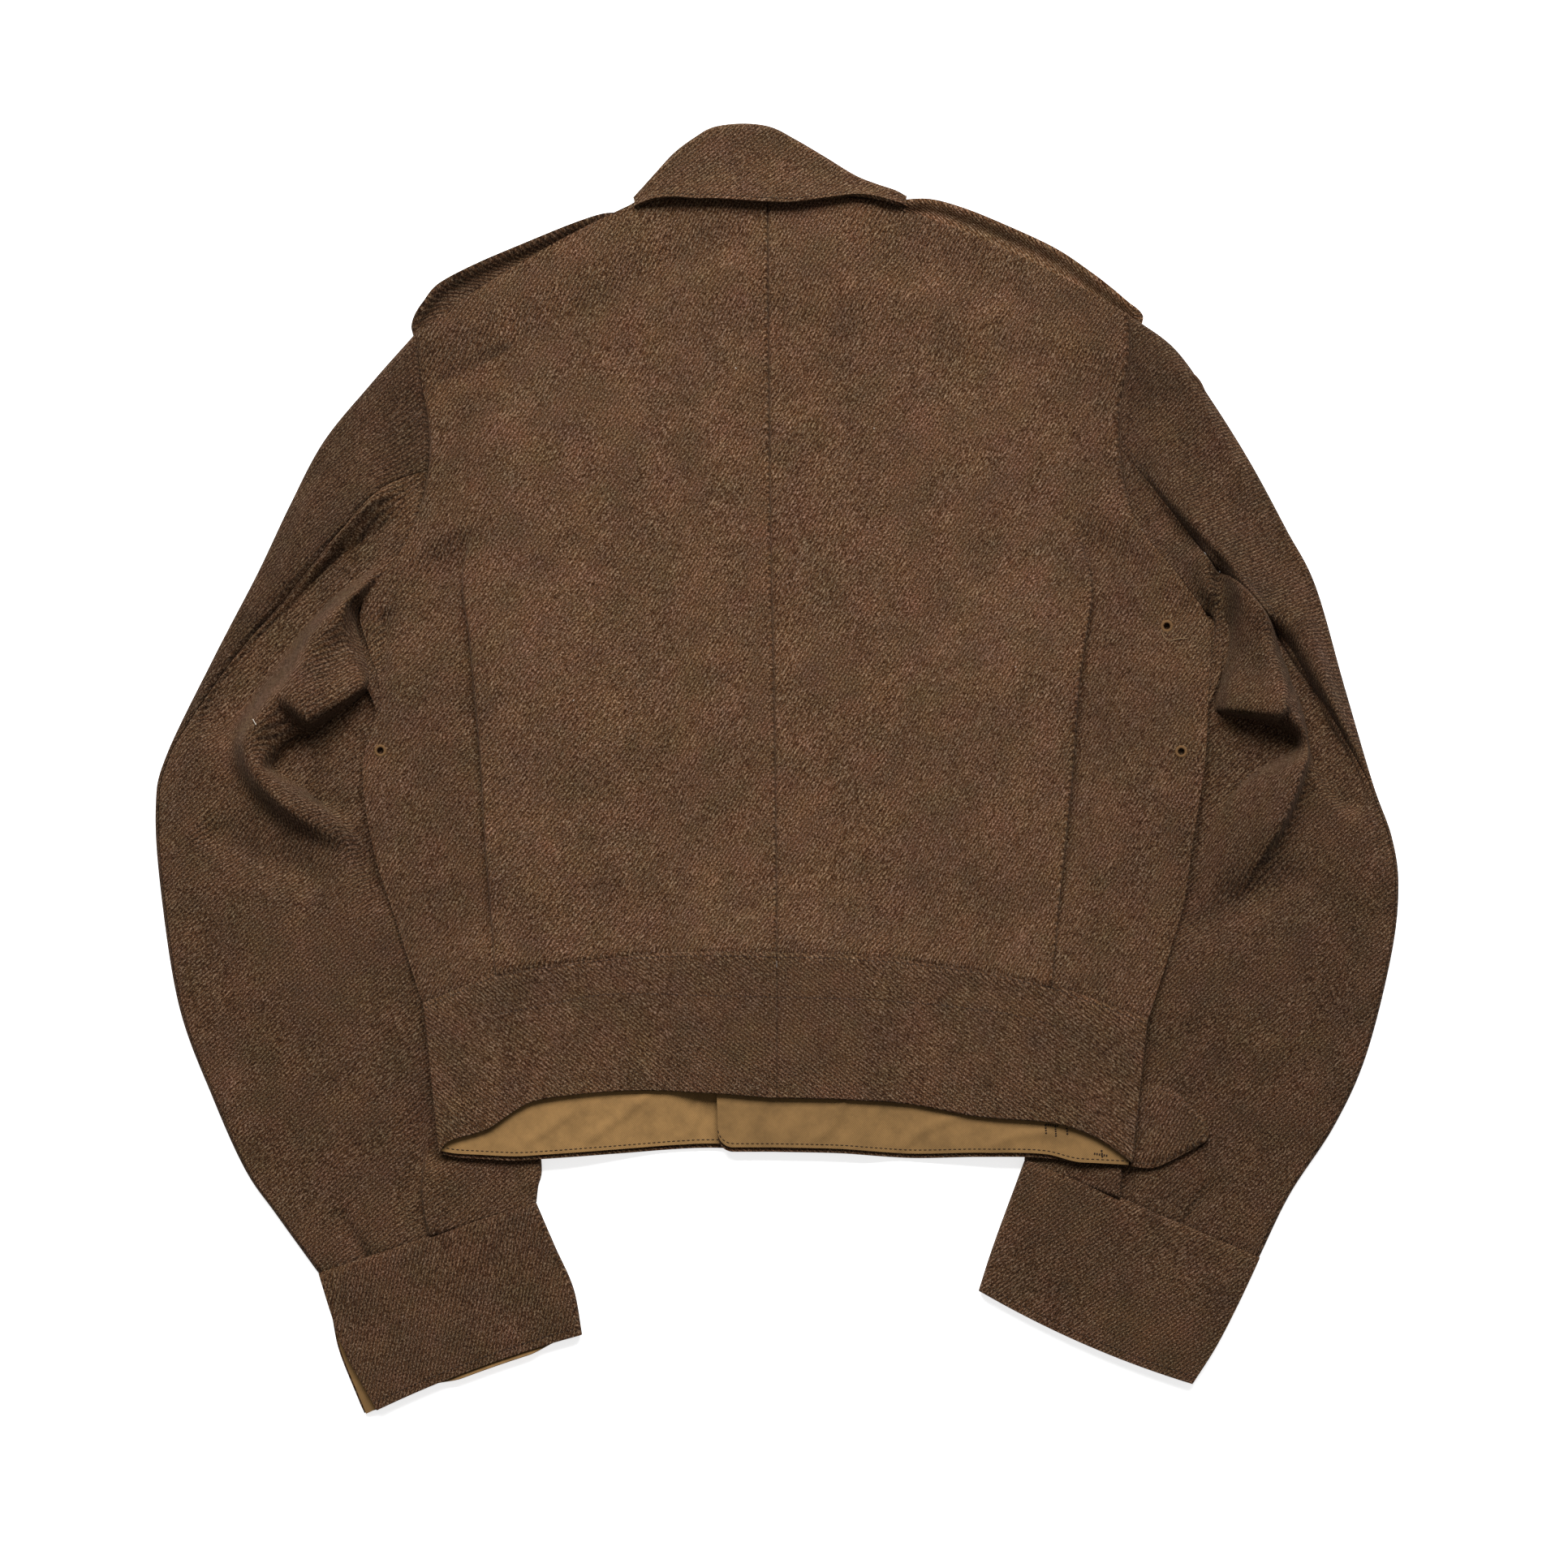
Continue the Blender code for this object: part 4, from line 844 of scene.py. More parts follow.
def sleeve_half(node, side, place, ring):
    """Part of a sleeve between two of its seams, faced by the slopes of the whole tube."""
    grid = sleeve_surface(side, place, ring)
    around = sleeve_surface(side, place, ring + NORMAL_RING) - sleeve_surface(side, place, ring - NORMAL_RING)
    down = sleeve_surface(side, place + NORMAL_ROWS, ring) - sleeve_surface(side, place - NORMAL_ROWS, ring)
    normal = -SIGN[side] * unit(np.cross(down, around))
    if side == "left":
        grid, normal = grid[:, ::-1], normal[:, ::-1]
    sleeve_grid[node] = grid
    # The sleeve's colour carries painted shade through its tone.
    finish = serge("serge_" + node, SLEEVE_TONE_AND_PAINTED_SHADE[node], SLEEVE_RIB_ANGLE)
    return cloth(node, grid, SERGE, -1, grid[..., :2], finish, normal)


def sleeve(side):
    """Both halves of a two-piece sleeve, parted at the hind-arm and forearm seams.

    Rows are closer by the armhole, and columns closer at the folds and the seam.
    """
    rows = SLEEVE[side]
    place = np.concatenate([np.linspace(0, UPPER_ROWS, 170)[:-1],
                            np.linspace(UPPER_ROWS, len(rows) - 1, 80)])[:, None]
    reach = np.linalg.norm(points(rows, "inner", place) - points(rows, "outer", place), axis=-1)
    gap = (SLEEVE_SEAM / 2) / reach
    seam = np.maximum(through(column(rows, "seam"), place), HINDARM_LEAST / reach)
    knots = np.array([-1.0, -0.7, -0.45, -0.25, -0.1, 0.0, 0.1, 0.25, 0.45, 0.7, 1.0])[None, :]
    bend = knots * np.minimum(fold_width(side, place, "outer") / reach, seam * 0.9)
    floor_part = np.linspace(gap - FOREARM_SEAM, bend[:, :1], 14, axis=1)[..., 0]
    closer = 1.0 - np.linspace(1, 0, 34)[None, :] ** 1.6
    over = bend[:, -1:] + (seam - gap - bend[:, -1:]) * closer
    ring = np.concatenate([floor_part[:, :-1], bend, over[:, 1:]], axis=1)
    sleeve_half("top_sleeve_" + side, side, place, ring)
    bend = knots * fold_width(side, place, "inner") / reach
    closer = np.linspace(0, 1, 88)[None, :] ** 1.4
    over = seam + gap + (1.0 + bend[:, :1] - seam - gap) * closer
    floor_part = np.linspace(1.0 + bend[:, -1:], 2.0 - FOREARM_SEAM - gap, 8, axis=1)[..., 0]
    ring = np.concatenate([over[:, :-1], 1.0 + bend, floor_part[:, 1:]], axis=1)
    sleeve_half("under_sleeve_" + side, side, place, ring)


for side in SIGN:
    sleeve(side)


# The cuffs: doubled bands of serge sewn to the sleeve ends, folded at the inner side and open at the
# outer side for a buttoned vent. The left one shows its drill lining in the vent and past its hem.
DOUBLED = 2.4
DRILL = 1.0
CUFF_HEIGHT = 6.8
CUFF_BOW = {"left": -3.0, "right": 4.0}
VENT_STEP = {"left": 8.0, "right": 0.0}
VENT_FROM = 0.8
LINING_PEEP = 2.8
LINING_RISE = 2.6
CUFF_OVERLAP = 0.06
CUFF_TONE = 0.72
CUFF_STEPS = 56
CUFF_RIPPLE = 0.35
CUFF_LINING_TOP = 0.4
CUFF_LINING_REACH = 0.9
CUFF_LINING_INSET = 1.0
CUFF_LINING_TONE = 1.0
VENT_CURVE = 1.5
PEEP_FROM = 0.3
PEEP_TO = 0.75
PEEP_RUN = 0.15
RIM = 0.8
CUFF_RIB_ANGLE = {"left": 78.0, "right": 35.0}
DRILL_TAN = np.array([0.165, 0.092, 0.033])
DRILL_RIB = 0.9
DRILL_RIB_TURN = 40.0
DRILL_DARKEST = 0.72
DRILL_PALEST = 1.25

CuffRow = namedtuple("CuffRow", "outer_x outer_y inner_x inner_y")
CUFF = {
    "left": [
        CuffRow(-270, -299.5, -142, -256.5),
        CuffRow(-263, -322, -131, -282),
        CuffRow(-255, -344, -120, -307),
        CuffRow(-236, -378.5, -115, -334),
    ],
    "right": [
        CuffRow(284, -290.5, 146, -231.5),
        CuffRow(272, -316, 132, -269),
        CuffRow(259, -341, 125, -289),
        CuffRow(245, -363, 119, -308),
    ],
}


def drill(name, tone):
    """Tan cotton drill: a fine diagonal rib over a slightly uneven dye, worn paler in places."""
    material = new_material(name)
    turned = node_of(material, "ShaderNodeMapping", Vector=place_on_weave(material),
                     Rotation=(0, 0, np.radians(DRILL_RIB_TURN)),
                     Scale=(1 / MM, 1 / MM, 1 / MM)).outputs["Vector"]
    ribs = node_of(material, "ShaderNodeTexWave", Vector=turned, Scale=WAVE_TURN / DRILL_RIB, Distortion=1.2,
                   Detail=2.0).outputs["Fac"]
    dye = node_of(material, "ShaderNodeTexNoise", Vector=turned, Scale=0.06, Detail=6.0,
                  Roughness=0.66).outputs["Fac"]
    shade = ramp(material, dye, [(0.3, DRILL_TAN * tone * DRILL_DARKEST), (0.52, DRILL_TAN * tone),
                                 (0.74, DRILL_TAN * tone * DRILL_PALEST)])
    ribbing = node_of(material, "ShaderNodeMapRange", Value=ribs, To_Min=0.9, To_Max=1.1).outputs["Result"]
    coloured = combined(material, "ShaderNodeVectorMath", "MULTIPLY", shade, ribbing)
    bump = node_of(material, "ShaderNodeBump", Height=ribs, Strength=0.4, Distance=0.0002).outputs["Normal"]
    return finished(material, Base_Color=coloured, Normal=bump, Roughness=0.9, Specular_IOR_Level=0.2)


def lengths(grid):
    """Places on the weave by length along a grid's rows and columns."""
    across = np.linalg.norm(np.diff(grid, axis=1), axis=-1)
    down = np.linalg.norm(np.diff(grid, axis=0), axis=-1)
    across = np.concatenate([np.zeros((len(grid), 1)), np.cumsum(across, axis=1)], axis=1)
    down = np.concatenate([np.zeros((1, grid.shape[1])), np.cumsum(down, axis=0)], axis=0)
    return np.stack([across, down], axis=-1)


def rounded(piece, width=RIM):
    """Soften the rim of a doubled piece, whose edges are turned and pressed folds."""
    bevel = piece.modifiers.new("rim", "BEVEL")
    bevel.width = width * MM
    bevel.segments = 2
    bevel.angle_limit = np.radians(55)
    bevel.harden_normals = False
    return piece


def folded(free_edge, fold, under_edge, top_z, under_z, steps, bow=0.0):
    """Grid of a doubled band folded in two: an upper layer, a round fold and the layer beneath it.

    The bow moves each row's points by up to its own plan vector, most midway along the row.
    """
    radius = (top_z - under_z) / 2
    inward = unit(fold - free_edge)
    bend = fold - inward * (radius + DOUBLED / 2)
    share = np.linspace(0, 1, steps)[None, :]
    upper = with_height(between(free_edge, bend, share), top_z)
    turn = np.linspace(0, np.pi, 10)[None, 1:-1]
    round_plan = bend + inward * (radius * np.sin(turn))[..., None]
    round_part = with_height(round_plan, (top_z + under_z) / 2 + radius * np.cos(turn))
    lower = with_height(between(bend, under_edge, share), under_z)
    grid = np.concatenate([upper, round_part, lower], axis=1)
    along = np.linalg.norm(grid[..., :2] - free_edge, axis=-1) / np.linalg.norm(fold - free_edge, axis=-1)
    grid[..., :2] += bow * (4.0 * along * (1.0 - along))[..., None]
    return grid


def cuff_bow(side, place, inward):
    """Plan vectors by which a cuff's rows bow away from the sleeve, nought at its seam."""
    downward = SIGN[side] * np.stack([inward[..., 1], -inward[..., 0]], axis=-1)
    return -downward * (CUFF_BOW[side] * (place / (len(CUFF[side]) - 1)) ** 2)[..., None]


def vent_step(side, place):
    """How far a cuff's lower layer stands out past the upper one: nought above, most at the hem."""
    share = np.clip((place - VENT_FROM) / (len(CUFF[side]) - 1 - VENT_FROM), 0.0, 1.0)
    return VENT_STEP[side] * share ** VENT_CURVE


cuff_grid = {}


def cuff(side):
    """A cuff band: folded at the inner side, open at the outer side for the vent."""
    rows = CUFF[side]
    place = np.linspace(0, len(rows) - 1, 48)[:, None]
    free_edge = points(rows, "outer", place - CUFF_OVERLAP)
    fold = points(rows, "inner", place - CUFF_OVERLAP)
    free_edge[-1:], fold[-1:] = points(rows, "outer", place[-1:]), points(rows, "inner", place[-1:])
    inward = unit(fold - free_edge)
    under_edge = free_edge - inward * vent_step(side, place)[..., None]
    bow = cuff_bow(side, place, inward)
    if side == "left":
        free_edge, fold, under_edge, bow = free_edge[::-1], fold[::-1], under_edge[::-1], bow[::-1]
    grid = folded(free_edge, fold, under_edge, CUFF_HEIGHT - DOUBLED / 2, DOUBLED / 2, CUFF_STEPS, bow)
    half_way = grid.shape[1] // 2
    seam_row = grid[-1:, :half_way] if side == "left" else grid[:1, :half_way]
    from_seam = np.linalg.norm(grid[:, :half_way] - seam_row, axis=-1)
    dip = SEAM_DIP * np.exp(-(from_seam / SEAM_WIDTH) ** 2)
    grid[:, :half_way, 2] += ripple(grid[:, :half_way, :2], CUFF_RIPPLE) - dip
    cuff_grid[side] = grid
    finish = serge("serge_cuff_" + side, CUFF_TONE, CUFF_RIB_ANGLE[side])
    return rounded(cloth("cuff_" + side, grid, DOUBLED, 0, grid[..., :2], finish))


def cuff_lining(side):
    """The drill inside the lower layer of a cuff, showing in the vent and past the lower edge."""
    rows = CUFF[side]
    place = np.linspace(CUFF_LINING_TOP, len(rows) - 1, 40)[:, None]
    outer = points(rows, "outer", place)
    inner = points(rows, "inner", place)
    inward = unit(inner - outer)
    start = outer - inward * (vent_step(side, place) - CUFF_LINING_INSET)[..., None]
    share = np.linspace(0, CUFF_LINING_REACH, 60)[None, :]
    plan = between(start, inner, share)
    plan += cuff_bow(side, place, inward) * (4.0 * share * (1.0 - share))[..., None]
    downward = np.stack([-inward[-1, 0, 1], inward[-1, 0, 0]])
    peep = smooth((share[0] - PEEP_FROM) / PEEP_RUN) * (1.0 - smooth((share[0] - PEEP_TO) / PEEP_RUN))
    plan[-1] -= downward * (LINING_PEEP * peep)[:, None]
    grid = with_height(plan, DOUBLED + SEAM)
    grid[-1, :, 2] += LINING_RISE * peep
    grid = grid[::-1]
    finish = drill("drill_cuff_" + side, CUFF_LINING_TONE)
    cloth("cuff_lining_" + side, grid, DRILL, 1, lengths(grid), finish)


for side in SIGN:
    cuff(side)
cuff_lining("left")


# The collar: doubled serge, its stand sewn to the neck edge and its fall turned down over the back.
# The two ends run on to the throat under the body.
STAND_Z = 7.4
FALL_Z = 11.6
COLLAR_END_X = {"left": -72.0, "right": 64.0}
COLLAR_END_INSET = 5.0
COLLAR_STEPS = 26
COLLAR_LIFT = 4.0
COLLAR_END_SEAM = 1.0
COLLAR_END_START = {"left": -4.5, "right": 0.5}
COLLAR_END_LEAST = 6.0
STAND_LEAST = 4.0
COLLAR_END_SHARE = 0.1
COLLAR_END_DROP = 2.4
COLLAR_TONE = 0.86
COLLAR_RIB_ANGLE = 40.0

CollarRow = namedtuple("CollarRow", "x roll_y edge_y")
COLLAR = [
    CollarRow(-84, 337, 331),
    CollarRow(-72, 350, 335),
    CollarRow(-60, 363, 336),
    CollarRow(-48, 372, 335),
    CollarRow(-37, 378, 335),
    CollarRow(-20, 380, 334),
    CollarRow(-4, 378, 333),
    CollarRow(10, 371, 333),
    CollarRow(27, 361, 335),
    CollarRow(45, 350, 337),
    CollarRow(57, 345, 336),
    CollarRow(69, 341, 333),
    CollarRow(76, 337.5, 331),
]


def neck_line(across):
    """Height up the plan of the back's top edge: neck seam in the middle, shoulder seams beside it."""
    left, right = BACK["left"][0], BACK["right"][0]
    stations = [left.side_x, left.pleat_x, CENTRE_TOP_X, right.pleat_x, right.side_x]
    heights = [left.side_y, left.pleat_y, left.centre_y, right.pleat_y, right.side_y]
    return np.interp(across, stations, heights)


def collar():
    """Grid of the collar's fall, roll line and stand, across the back of the neck."""
    place = np.linspace(0, len(COLLAR) - 1, 110)[:, None]
    across = through(column(COLLAR, "x"), place)
    free_edge = np.stack([across, through(column(COLLAR, "edge_y"), place)], axis=-1)
    fold = np.stack([across, through(column(COLLAR, "roll_y"), place)], axis=-1)
    seam = np.stack([across, neck_line(across) - SEAM], axis=-1)
    under_edge = np.minimum(seam, fold - np.array([0.0, STAND_LEAST]))
    grid = folded(free_edge, fold, under_edge, FALL_Z, STAND_Z, COLLAR_STEPS)
    along = place / place[-1]
    off = (1.0 - np.linspace(0, 1, COLLAR_STEPS)[None, :]) ** 2 * np.sqrt(4.0 * along * (1.0 - along))
    grid[:, :COLLAR_STEPS, 2] += COLLAR_LIFT * off
    end = 1.0 - smooth(np.minimum(along, 1.0 - along) / COLLAR_END_SHARE)
    eased = np.concatenate([np.ones(COLLAR_STEPS), np.linspace(1, 0, grid.shape[1] - 2 * COLLAR_STEPS)])
    grid[:, :len(eased), 2] -= COLLAR_END_DROP * end * eased
    return grid


def collar_end(side):
    """A hidden end of the collar, flat on the floor from the side of the neck to the throat."""
    across = np.linspace(COLLAR_END_START[side], COLLAR_END_X[side], 40)[:, None]
    roll = np.interp(across, column(COLLAR, "x"), column(COLLAR, "roll_y")) - COLLAR_END_INSET
    row = BACK[side][0]
    throat_x, throat_y = FRONT_EDGE_X[side], row.centre_y - THROAT_DROP
    share = (across - throat_x) / (row.pleat_x - throat_x)
    lower = throat_y + (row.pleat_y - throat_y) * share + COLLAR_END_SEAM
    upper_edge = np.stack([across, roll], axis=-1)
    lower_edge = np.stack([across, np.minimum(lower, roll - COLLAR_END_LEAST)], axis=-1)
    plan = between(lower_edge, upper_edge, np.linspace(0, 1, 24)[None, :])
    grid = face_up(side, with_height(plan, 0.0))
    finish = serge("serge_collar_front_" + side, COLLAR_TONE)
    return rounded(cloth("collar_front_" + side, grid, DOUBLED, 1, plan, finish))


collar_grid = collar()
collar_serge = serge("serge_collar", COLLAR_TONE, COLLAR_RIB_ANGLE)
rounded(cloth("collar", collar_grid, DOUBLED, 0, collar_grid[..., :2], collar_serge))
for side in SIGN:
    collar_end(side)


# The shoulder straps: doubled serge, topstitched along the edge and sewn into the armhole seam. They
# lie on the front of the shoulders, so only an edge of each stands out past the shoulder line.
StrapRow = namedtuple("StrapRow", "outer_x outer_y inner_x inner_y")
STRAP = {
    "left": [
        StrapRow(-216, 261, -210, 234),
        StrapRow(-211, 271, -205, 238),
        StrapRow(-204, 282, -190, 248),
        StrapRow(-195, 289, -176, 254),
        StrapRow(-175, 299, -154, 264),
        StrapRow(-149, 310, -128, 275),
        StrapRow(-122, 321, -102, 287),
        StrapRow(-104, 327, -86, 293),
        StrapRow(-93, 328, -79, 298),
    ],
    "right": [
        StrapRow(216, 266, 209, 236),
        StrapRow(212, 271, 204, 238),
        StrapRow(205, 277, 196, 242),
        StrapRow(198, 283, 185, 248),
        StrapRow(185, 293, 168, 259),
        StrapRow(164, 307, 147, 272),
        StrapRow(134, 321, 119, 286),
        StrapRow(109, 331, 96, 295),
        StrapRow(89, 336, 79, 302),
        StrapRow(69, 335, 64, 306),
    ],
}
# Painted shade and light: the left strap's serge is darkened and the right one's lightened, standing for the
# shade on the one and the light on the other.
STRAP_PAINTED_SHADE_AND_LIGHT = {"left": 0.62, "right": 1.45}
STRAP_RISE = 5.5
STRAP_RIM = 5.0
STRAP_END_ROWS = 1.5
STRAP_CROWDING = 1.5
strap_grid = {}


def shoulder_strap(side):
    """A strap on the floor, its rim standing out past the shoulder line.

    The rim is raised by a bell curve of the distance from the outer edge, fading to the armhole.
    """
    place = np.linspace(0, len(STRAP[side]) - 1, 90)[:, None]
    outer = points(STRAP[side], "outer", place)
    inner = points(STRAP[side], "inner", place)
    share = np.linspace(0, 1, 48)[None, :] ** STRAP_CROWDING
    plan = between(outer, inner, share)
    inside = np.linalg.norm(plan - outer, axis=-1)
    rise = STRAP_RISE * smooth(place / STRAP_END_ROWS) * np.exp(-(inside / STRAP_RIM) ** 2)
    grid = face_up(side, with_height(plan, rise))
    strap_grid[side] = grid
    # Its tone paints shade on the left strap and light on the right one.
    finish = serge("serge_strap_" + side, STRAP_PAINTED_SHADE_AND_LIGHT[side])
    return rounded(cloth("shoulder_strap_" + side, grid, DOUBLED, 1, lengths(grid), finish))


for side in SIGN:
    shoulder_strap(side)


# The waistband: doubled serge round the waist, its back halves joined to the back by a curved seam and
# its front ones lying beneath, faced inside with tan drill that shows where the hem gapes.
HemRow = namedtuple("HemRow", "hem_x hem_y front_x front_y")
HEM = {
    "left": [
        HemRow(-2, -194, -2, -226),
        HemRow(-42, -191, -42, -224),
        HemRow(-91, -190, -91, -227),
        HemRow(-135, -194, -137, -230),
        HemRow(-152, -200, -155, -231),
        HemRow(-170, -212, -175, -230),
        HemRow(-192, -219, -189, -229),
        HemRow(-199, -226, -198, -227),
    ],
    "right": [
        HemRow(-2, -194, -2, -226),
        HemRow(39, -195, 39, -227),
        HemRow(78, -198, 78, -230),
        HemRow(118, -205, 118, -229),
        HemRow(157, -208, 150, -229),
        HemRow(178, -213, 172, -231),
        HemRow(194, -221, 190, -232),
        HemRow(209, -232, 207, -233),
    ],
}
# Painted light: the waistband's drill is made paler than the cuff's, the left more than the right; partly the
# drill's tone, partly painted light.
LINING_TONE_AND_PAINTED_LIGHT = {"left": 1.36, "right": 1.12}
LINING_TOP = 0.45
LINING_INSET = 0.975
CORNER = 9.0
EDGE_SLANT = 5.0
LINING_EDGE_SHARE = 0.62
LINING_EDGE_RUN = 0.15
LINING_EDGE_OVER = 1.25
LINING_CREASES = [
    Crease(((-116, -222), (-98, -210), (-70, -188)), 3, 2, 0.9, 0),
    Crease(((-150, -222), (-134, -212), (-118, -200)), 3, 2, 0.7, 0),
    Crease(((-60, -220), (-50, -210), (-44, -192)), 2, 3, 0.7, 0),
    Crease(((20, -222), (34, -208), (42, -190)), 3, 2, 0.9, 0),
    Crease(((72, -226), (86, -214), (112, -204)), 3, 2, 0.8, 0),
    Crease(((120, -226), (140, -216), (168, -214)), 2, 3, 0.8, 0),
]
WAIST_INSET = 3.0
FRONT_LAP_SHARE = 0.2
BAND_OVERLAP = 1.0
BAND_GAP = 0.03
BAND_OVER = 0.5
BAND_OVER_REACH = 4.0
BAND_OVER_RUN = 16.0
BAND_TONE = 0.82
BAND_RIPPLE = 0.3
BAND_SMOOTHING = 6
BAND_RIB_ANGLE = 142.0
band_grid = {}
lining_grid = {}


def waist_seam(side, across):
    """Plan points along the lower edge of the back, by share of the way from centre to side."""
    row = BACK[side][-1]
    centre = np.array([CENTRE_WAIST_X + SIGN[side] * SEAM / 2, row.centre_y])
    pleat = np.array([row.pleat_x, row.pleat_y])
    edge = np.array([row.side_x, row.side_y])
    pleat_share = np.linalg.norm(pleat - centre) / (
        np.linalg.norm(pleat - centre) + np.linalg.norm(edge - pleat))
    inner = np.clip(across / pleat_share, 0, 1)
    outer = np.clip((across - pleat_share) / (1 - pleat_share), 0, 1)
    middle = bowed(between(centre, pleat, inner), inner, WAIST_BOW)
    return np.where((across < pleat_share)[..., None], middle, between(pleat, edge, outer))


def waistband_back(side):
    """Half of the back waistband, from the waist seam to the hem.

    It lies on the stack of layers beneath it, and clears the back's lower edge where that is higher.
    """
    share = np.linspace(0, 1, 110)[None, :]
    place = share * (len(HEM[side]) - 1)
    top = waist_seam(side, share) + np.array([0.0, BAND_OVERLAP])
    hem = points(HEM[side], "hem", place)
    top[:, 0, 0] = CENTRE_WAIST_X + SIGN[side] * BAND_GAP
    hem[:, 0, 0] = top[:, 0, 0]
    plan = between(top, hem, np.linspace(0, 1, 44)[:, None])
    height = body_lift(plan) + front_lap(plan) + BAND_STACK + ripple(plan, BAND_RIPPLE)
    under = back_grid[side][-1]
    beside = np.abs(top[0, :, None, 0] - under[None, :, 0]) < BAND_OVER_REACH
    over = np.where(beside, under[None, :, 2], 0.0).max(axis=1) + SERGE / 2 + BAND_OVER - DOUBLED
    window = 2 * BAND_SMOOTHING + 1
    over = np.convolve(np.pad(over, BAND_SMOOTHING, mode="edge"), np.full(window, 1 / window), mode="valid")
    down = np.linalg.norm(plan - top, axis=-1)
    height = height + np.maximum(over - height[0], 0.0) * (1.0 - smooth(down / BAND_OVER_RUN))
    height = height - SEAM_DIP * np.exp(-(down / SEAM_WIDTH) ** 2)
    grid = face_up(side, with_height(plan, height))
    band_grid[side] = grid
    finish = serge("serge_waistband_back_" + side, BAND_TONE, BAND_RIB_ANGLE)
    return rounded(cloth("waistband_back_" + side, grid, DOUBLED, 1, grid[..., :2], finish))


def waistband_front(side):
    """A front waistband and the strip of drill on its inside that shows in the hem's mouth."""
    share = np.linspace(0, 1, 150)[None, :] ** 1.3 * (1.0 + FRONT_LAP_SHARE) - FRONT_LAP_SHARE
    row = BACK[side][-1]
    place = np.clip(share, 0, 1) * (len(HEM[side]) - 1)
    top = waist_seam(side, np.clip(share, 0, 1)) - np.array([0.0, WAIST_BOW + WAIST_INSET])
    lower = points(HEM[side], "front", place)
    lap = np.clip(-share, 0, 1) / FRONT_LAP_SHARE
    top[..., 0] += lap * (FRONT_EDGE_X[side] - CENTRE_WAIST_X)
    lower[..., 0] += lap * (FRONT_EDGE_X[side] - CENTRE_WAIST_X)
    top[..., 1] = np.minimum(top[..., 1], row.centre_y - 2 * SEAM)
    lower[..., 0] -= SIGN[side] * EDGE_SLANT * -lap
    to_corner = np.clip(CORNER - np.abs(lower[..., 0] - lower[:, :1, 0]), 0.0, CORNER)
    lower[..., 1] += CORNER - np.sqrt(CORNER ** 2 - to_corner ** 2)
    parts = [("waistband_front_", np.linspace(0, 1, 40), 0.0, DOUBLED, "serge"),
             ("waistband_lining_", np.linspace(LINING_TOP, LINING_INSET, 30), DOUBLED + 2 * SEAM, DRILL,
              "drill")]
    for name, rows_down, above, wall, slot in parts:
        plan = between(top, lower, rows_down[:, None])
        if slot == "drill" and side == "right":
            shown = smooth((share - LINING_EDGE_SHARE) / LINING_EDGE_RUN)
            plan += (rows_down[:, None] * shown)[..., None] * (lower - plan[-1:]) * LINING_EDGE_OVER
        height = body_lift(plan) + above
        if slot == "drill":
            height = height + crease_relief(LINING_CREASES, plan)[0]
        if side == "right":
            height = height + front_lap(plan)
        grid = face_up(side, with_height(plan, height))
        if slot == "drill":
            lining_grid[side] = grid
            # Its tone holds painted light.
            finish = drill("drill_waistband_" + side, LINING_TONE_AND_PAINTED_LIGHT[side])
        else:
            finish = serge("serge_waistband_front_" + side, BAND_TONE, BAND_RIB_ANGLE)
        rounded(cloth(name + side, grid, wall, 1, grid[..., :2], finish), wall / 3)


for side in SIGN:
    waistband_back(side)
    waistband_front(side)


# The waist tab: the pointed end of the doubled serge strap that draws in the waistband, standing out
# past the right side on the sleeve.
TabRow = namedtuple("TabRow", "upper_x upper_y lower_x lower_y")
TAB = [
    TabRow(214.5, -187, 208.5, -234),
    TabRow(228, -187, 221, -235),
    TabRow(237, -193, 233, -230),
    TabRow(254, -211, 254, -218),
]
TAB_TONE = 0.74
TAB_LIFT = 0.8
TAB_RIM = 1.3
TAB_RIM_SHARE = 0.12
TAB_TIP_ROWS = 0.25


def waist_tab():
    """Grid of the pointed strap end, rising a little to its tip, its rim sunk in the sleeve's nap."""
    place = np.linspace(0, len(TAB) - 1, 40)[:, None]
    upper = points(TAB, "upper", place)
    lower = points(TAB, "lower", place)
    share = np.linspace(0, 1, 30)[None, :]
    plan = between(upper, lower, share)
    tip_row = len(TAB) - 1
    flat = smooth(np.minimum(share, 1.0 - share) / TAB_RIM_SHARE) * smooth((tip_row - place) / TAB_TIP_ROWS)
    return with_height(plan, BODY_LIFT + TAB_LIFT * smooth(place / tip_row) - TAB_RIM * (1.0 - flat))


tab_grid = waist_tab()
rounded(cloth("waist_tab", tab_grid, DOUBLED, 1, tab_grid[..., :2], serge("serge_tab", TAB_TONE)))


# The eyelets: three round holes punched through the side panels, each bound all round with close
# stitches of tan thread, so that the serge doesn't fray.
EYELET_HOLE = 4.2
EYELET_RING = 2.8
EYELET_ROLL = 0.9
EYELET_LOBES = 22
EYELET_SWELL = 0.22
EYELET_FLATNESS = 0.6
EYELET_TAN = (0.13, 0.068, 0.026, 1.0)
EyeletRow = namedtuple("EyeletRow", "side x y")
EYELETS = [
    EyeletRow("left", -233.5, 10.5),
    EyeletRow("right", 230.0, 84.0),
    EyeletRow("right", 238.0, 10.0),
]
PUNCH_SIDES = 24
PUNCH_BOTTOM = -5.0
PUNCH_TOP = 40.0


def thread(name, colour):
    """Plain spun thread of one colour."""
    return finished(new_material(name), Base_Color=colour, Roughness=0.8, Specular_IOR_Level=0.2)


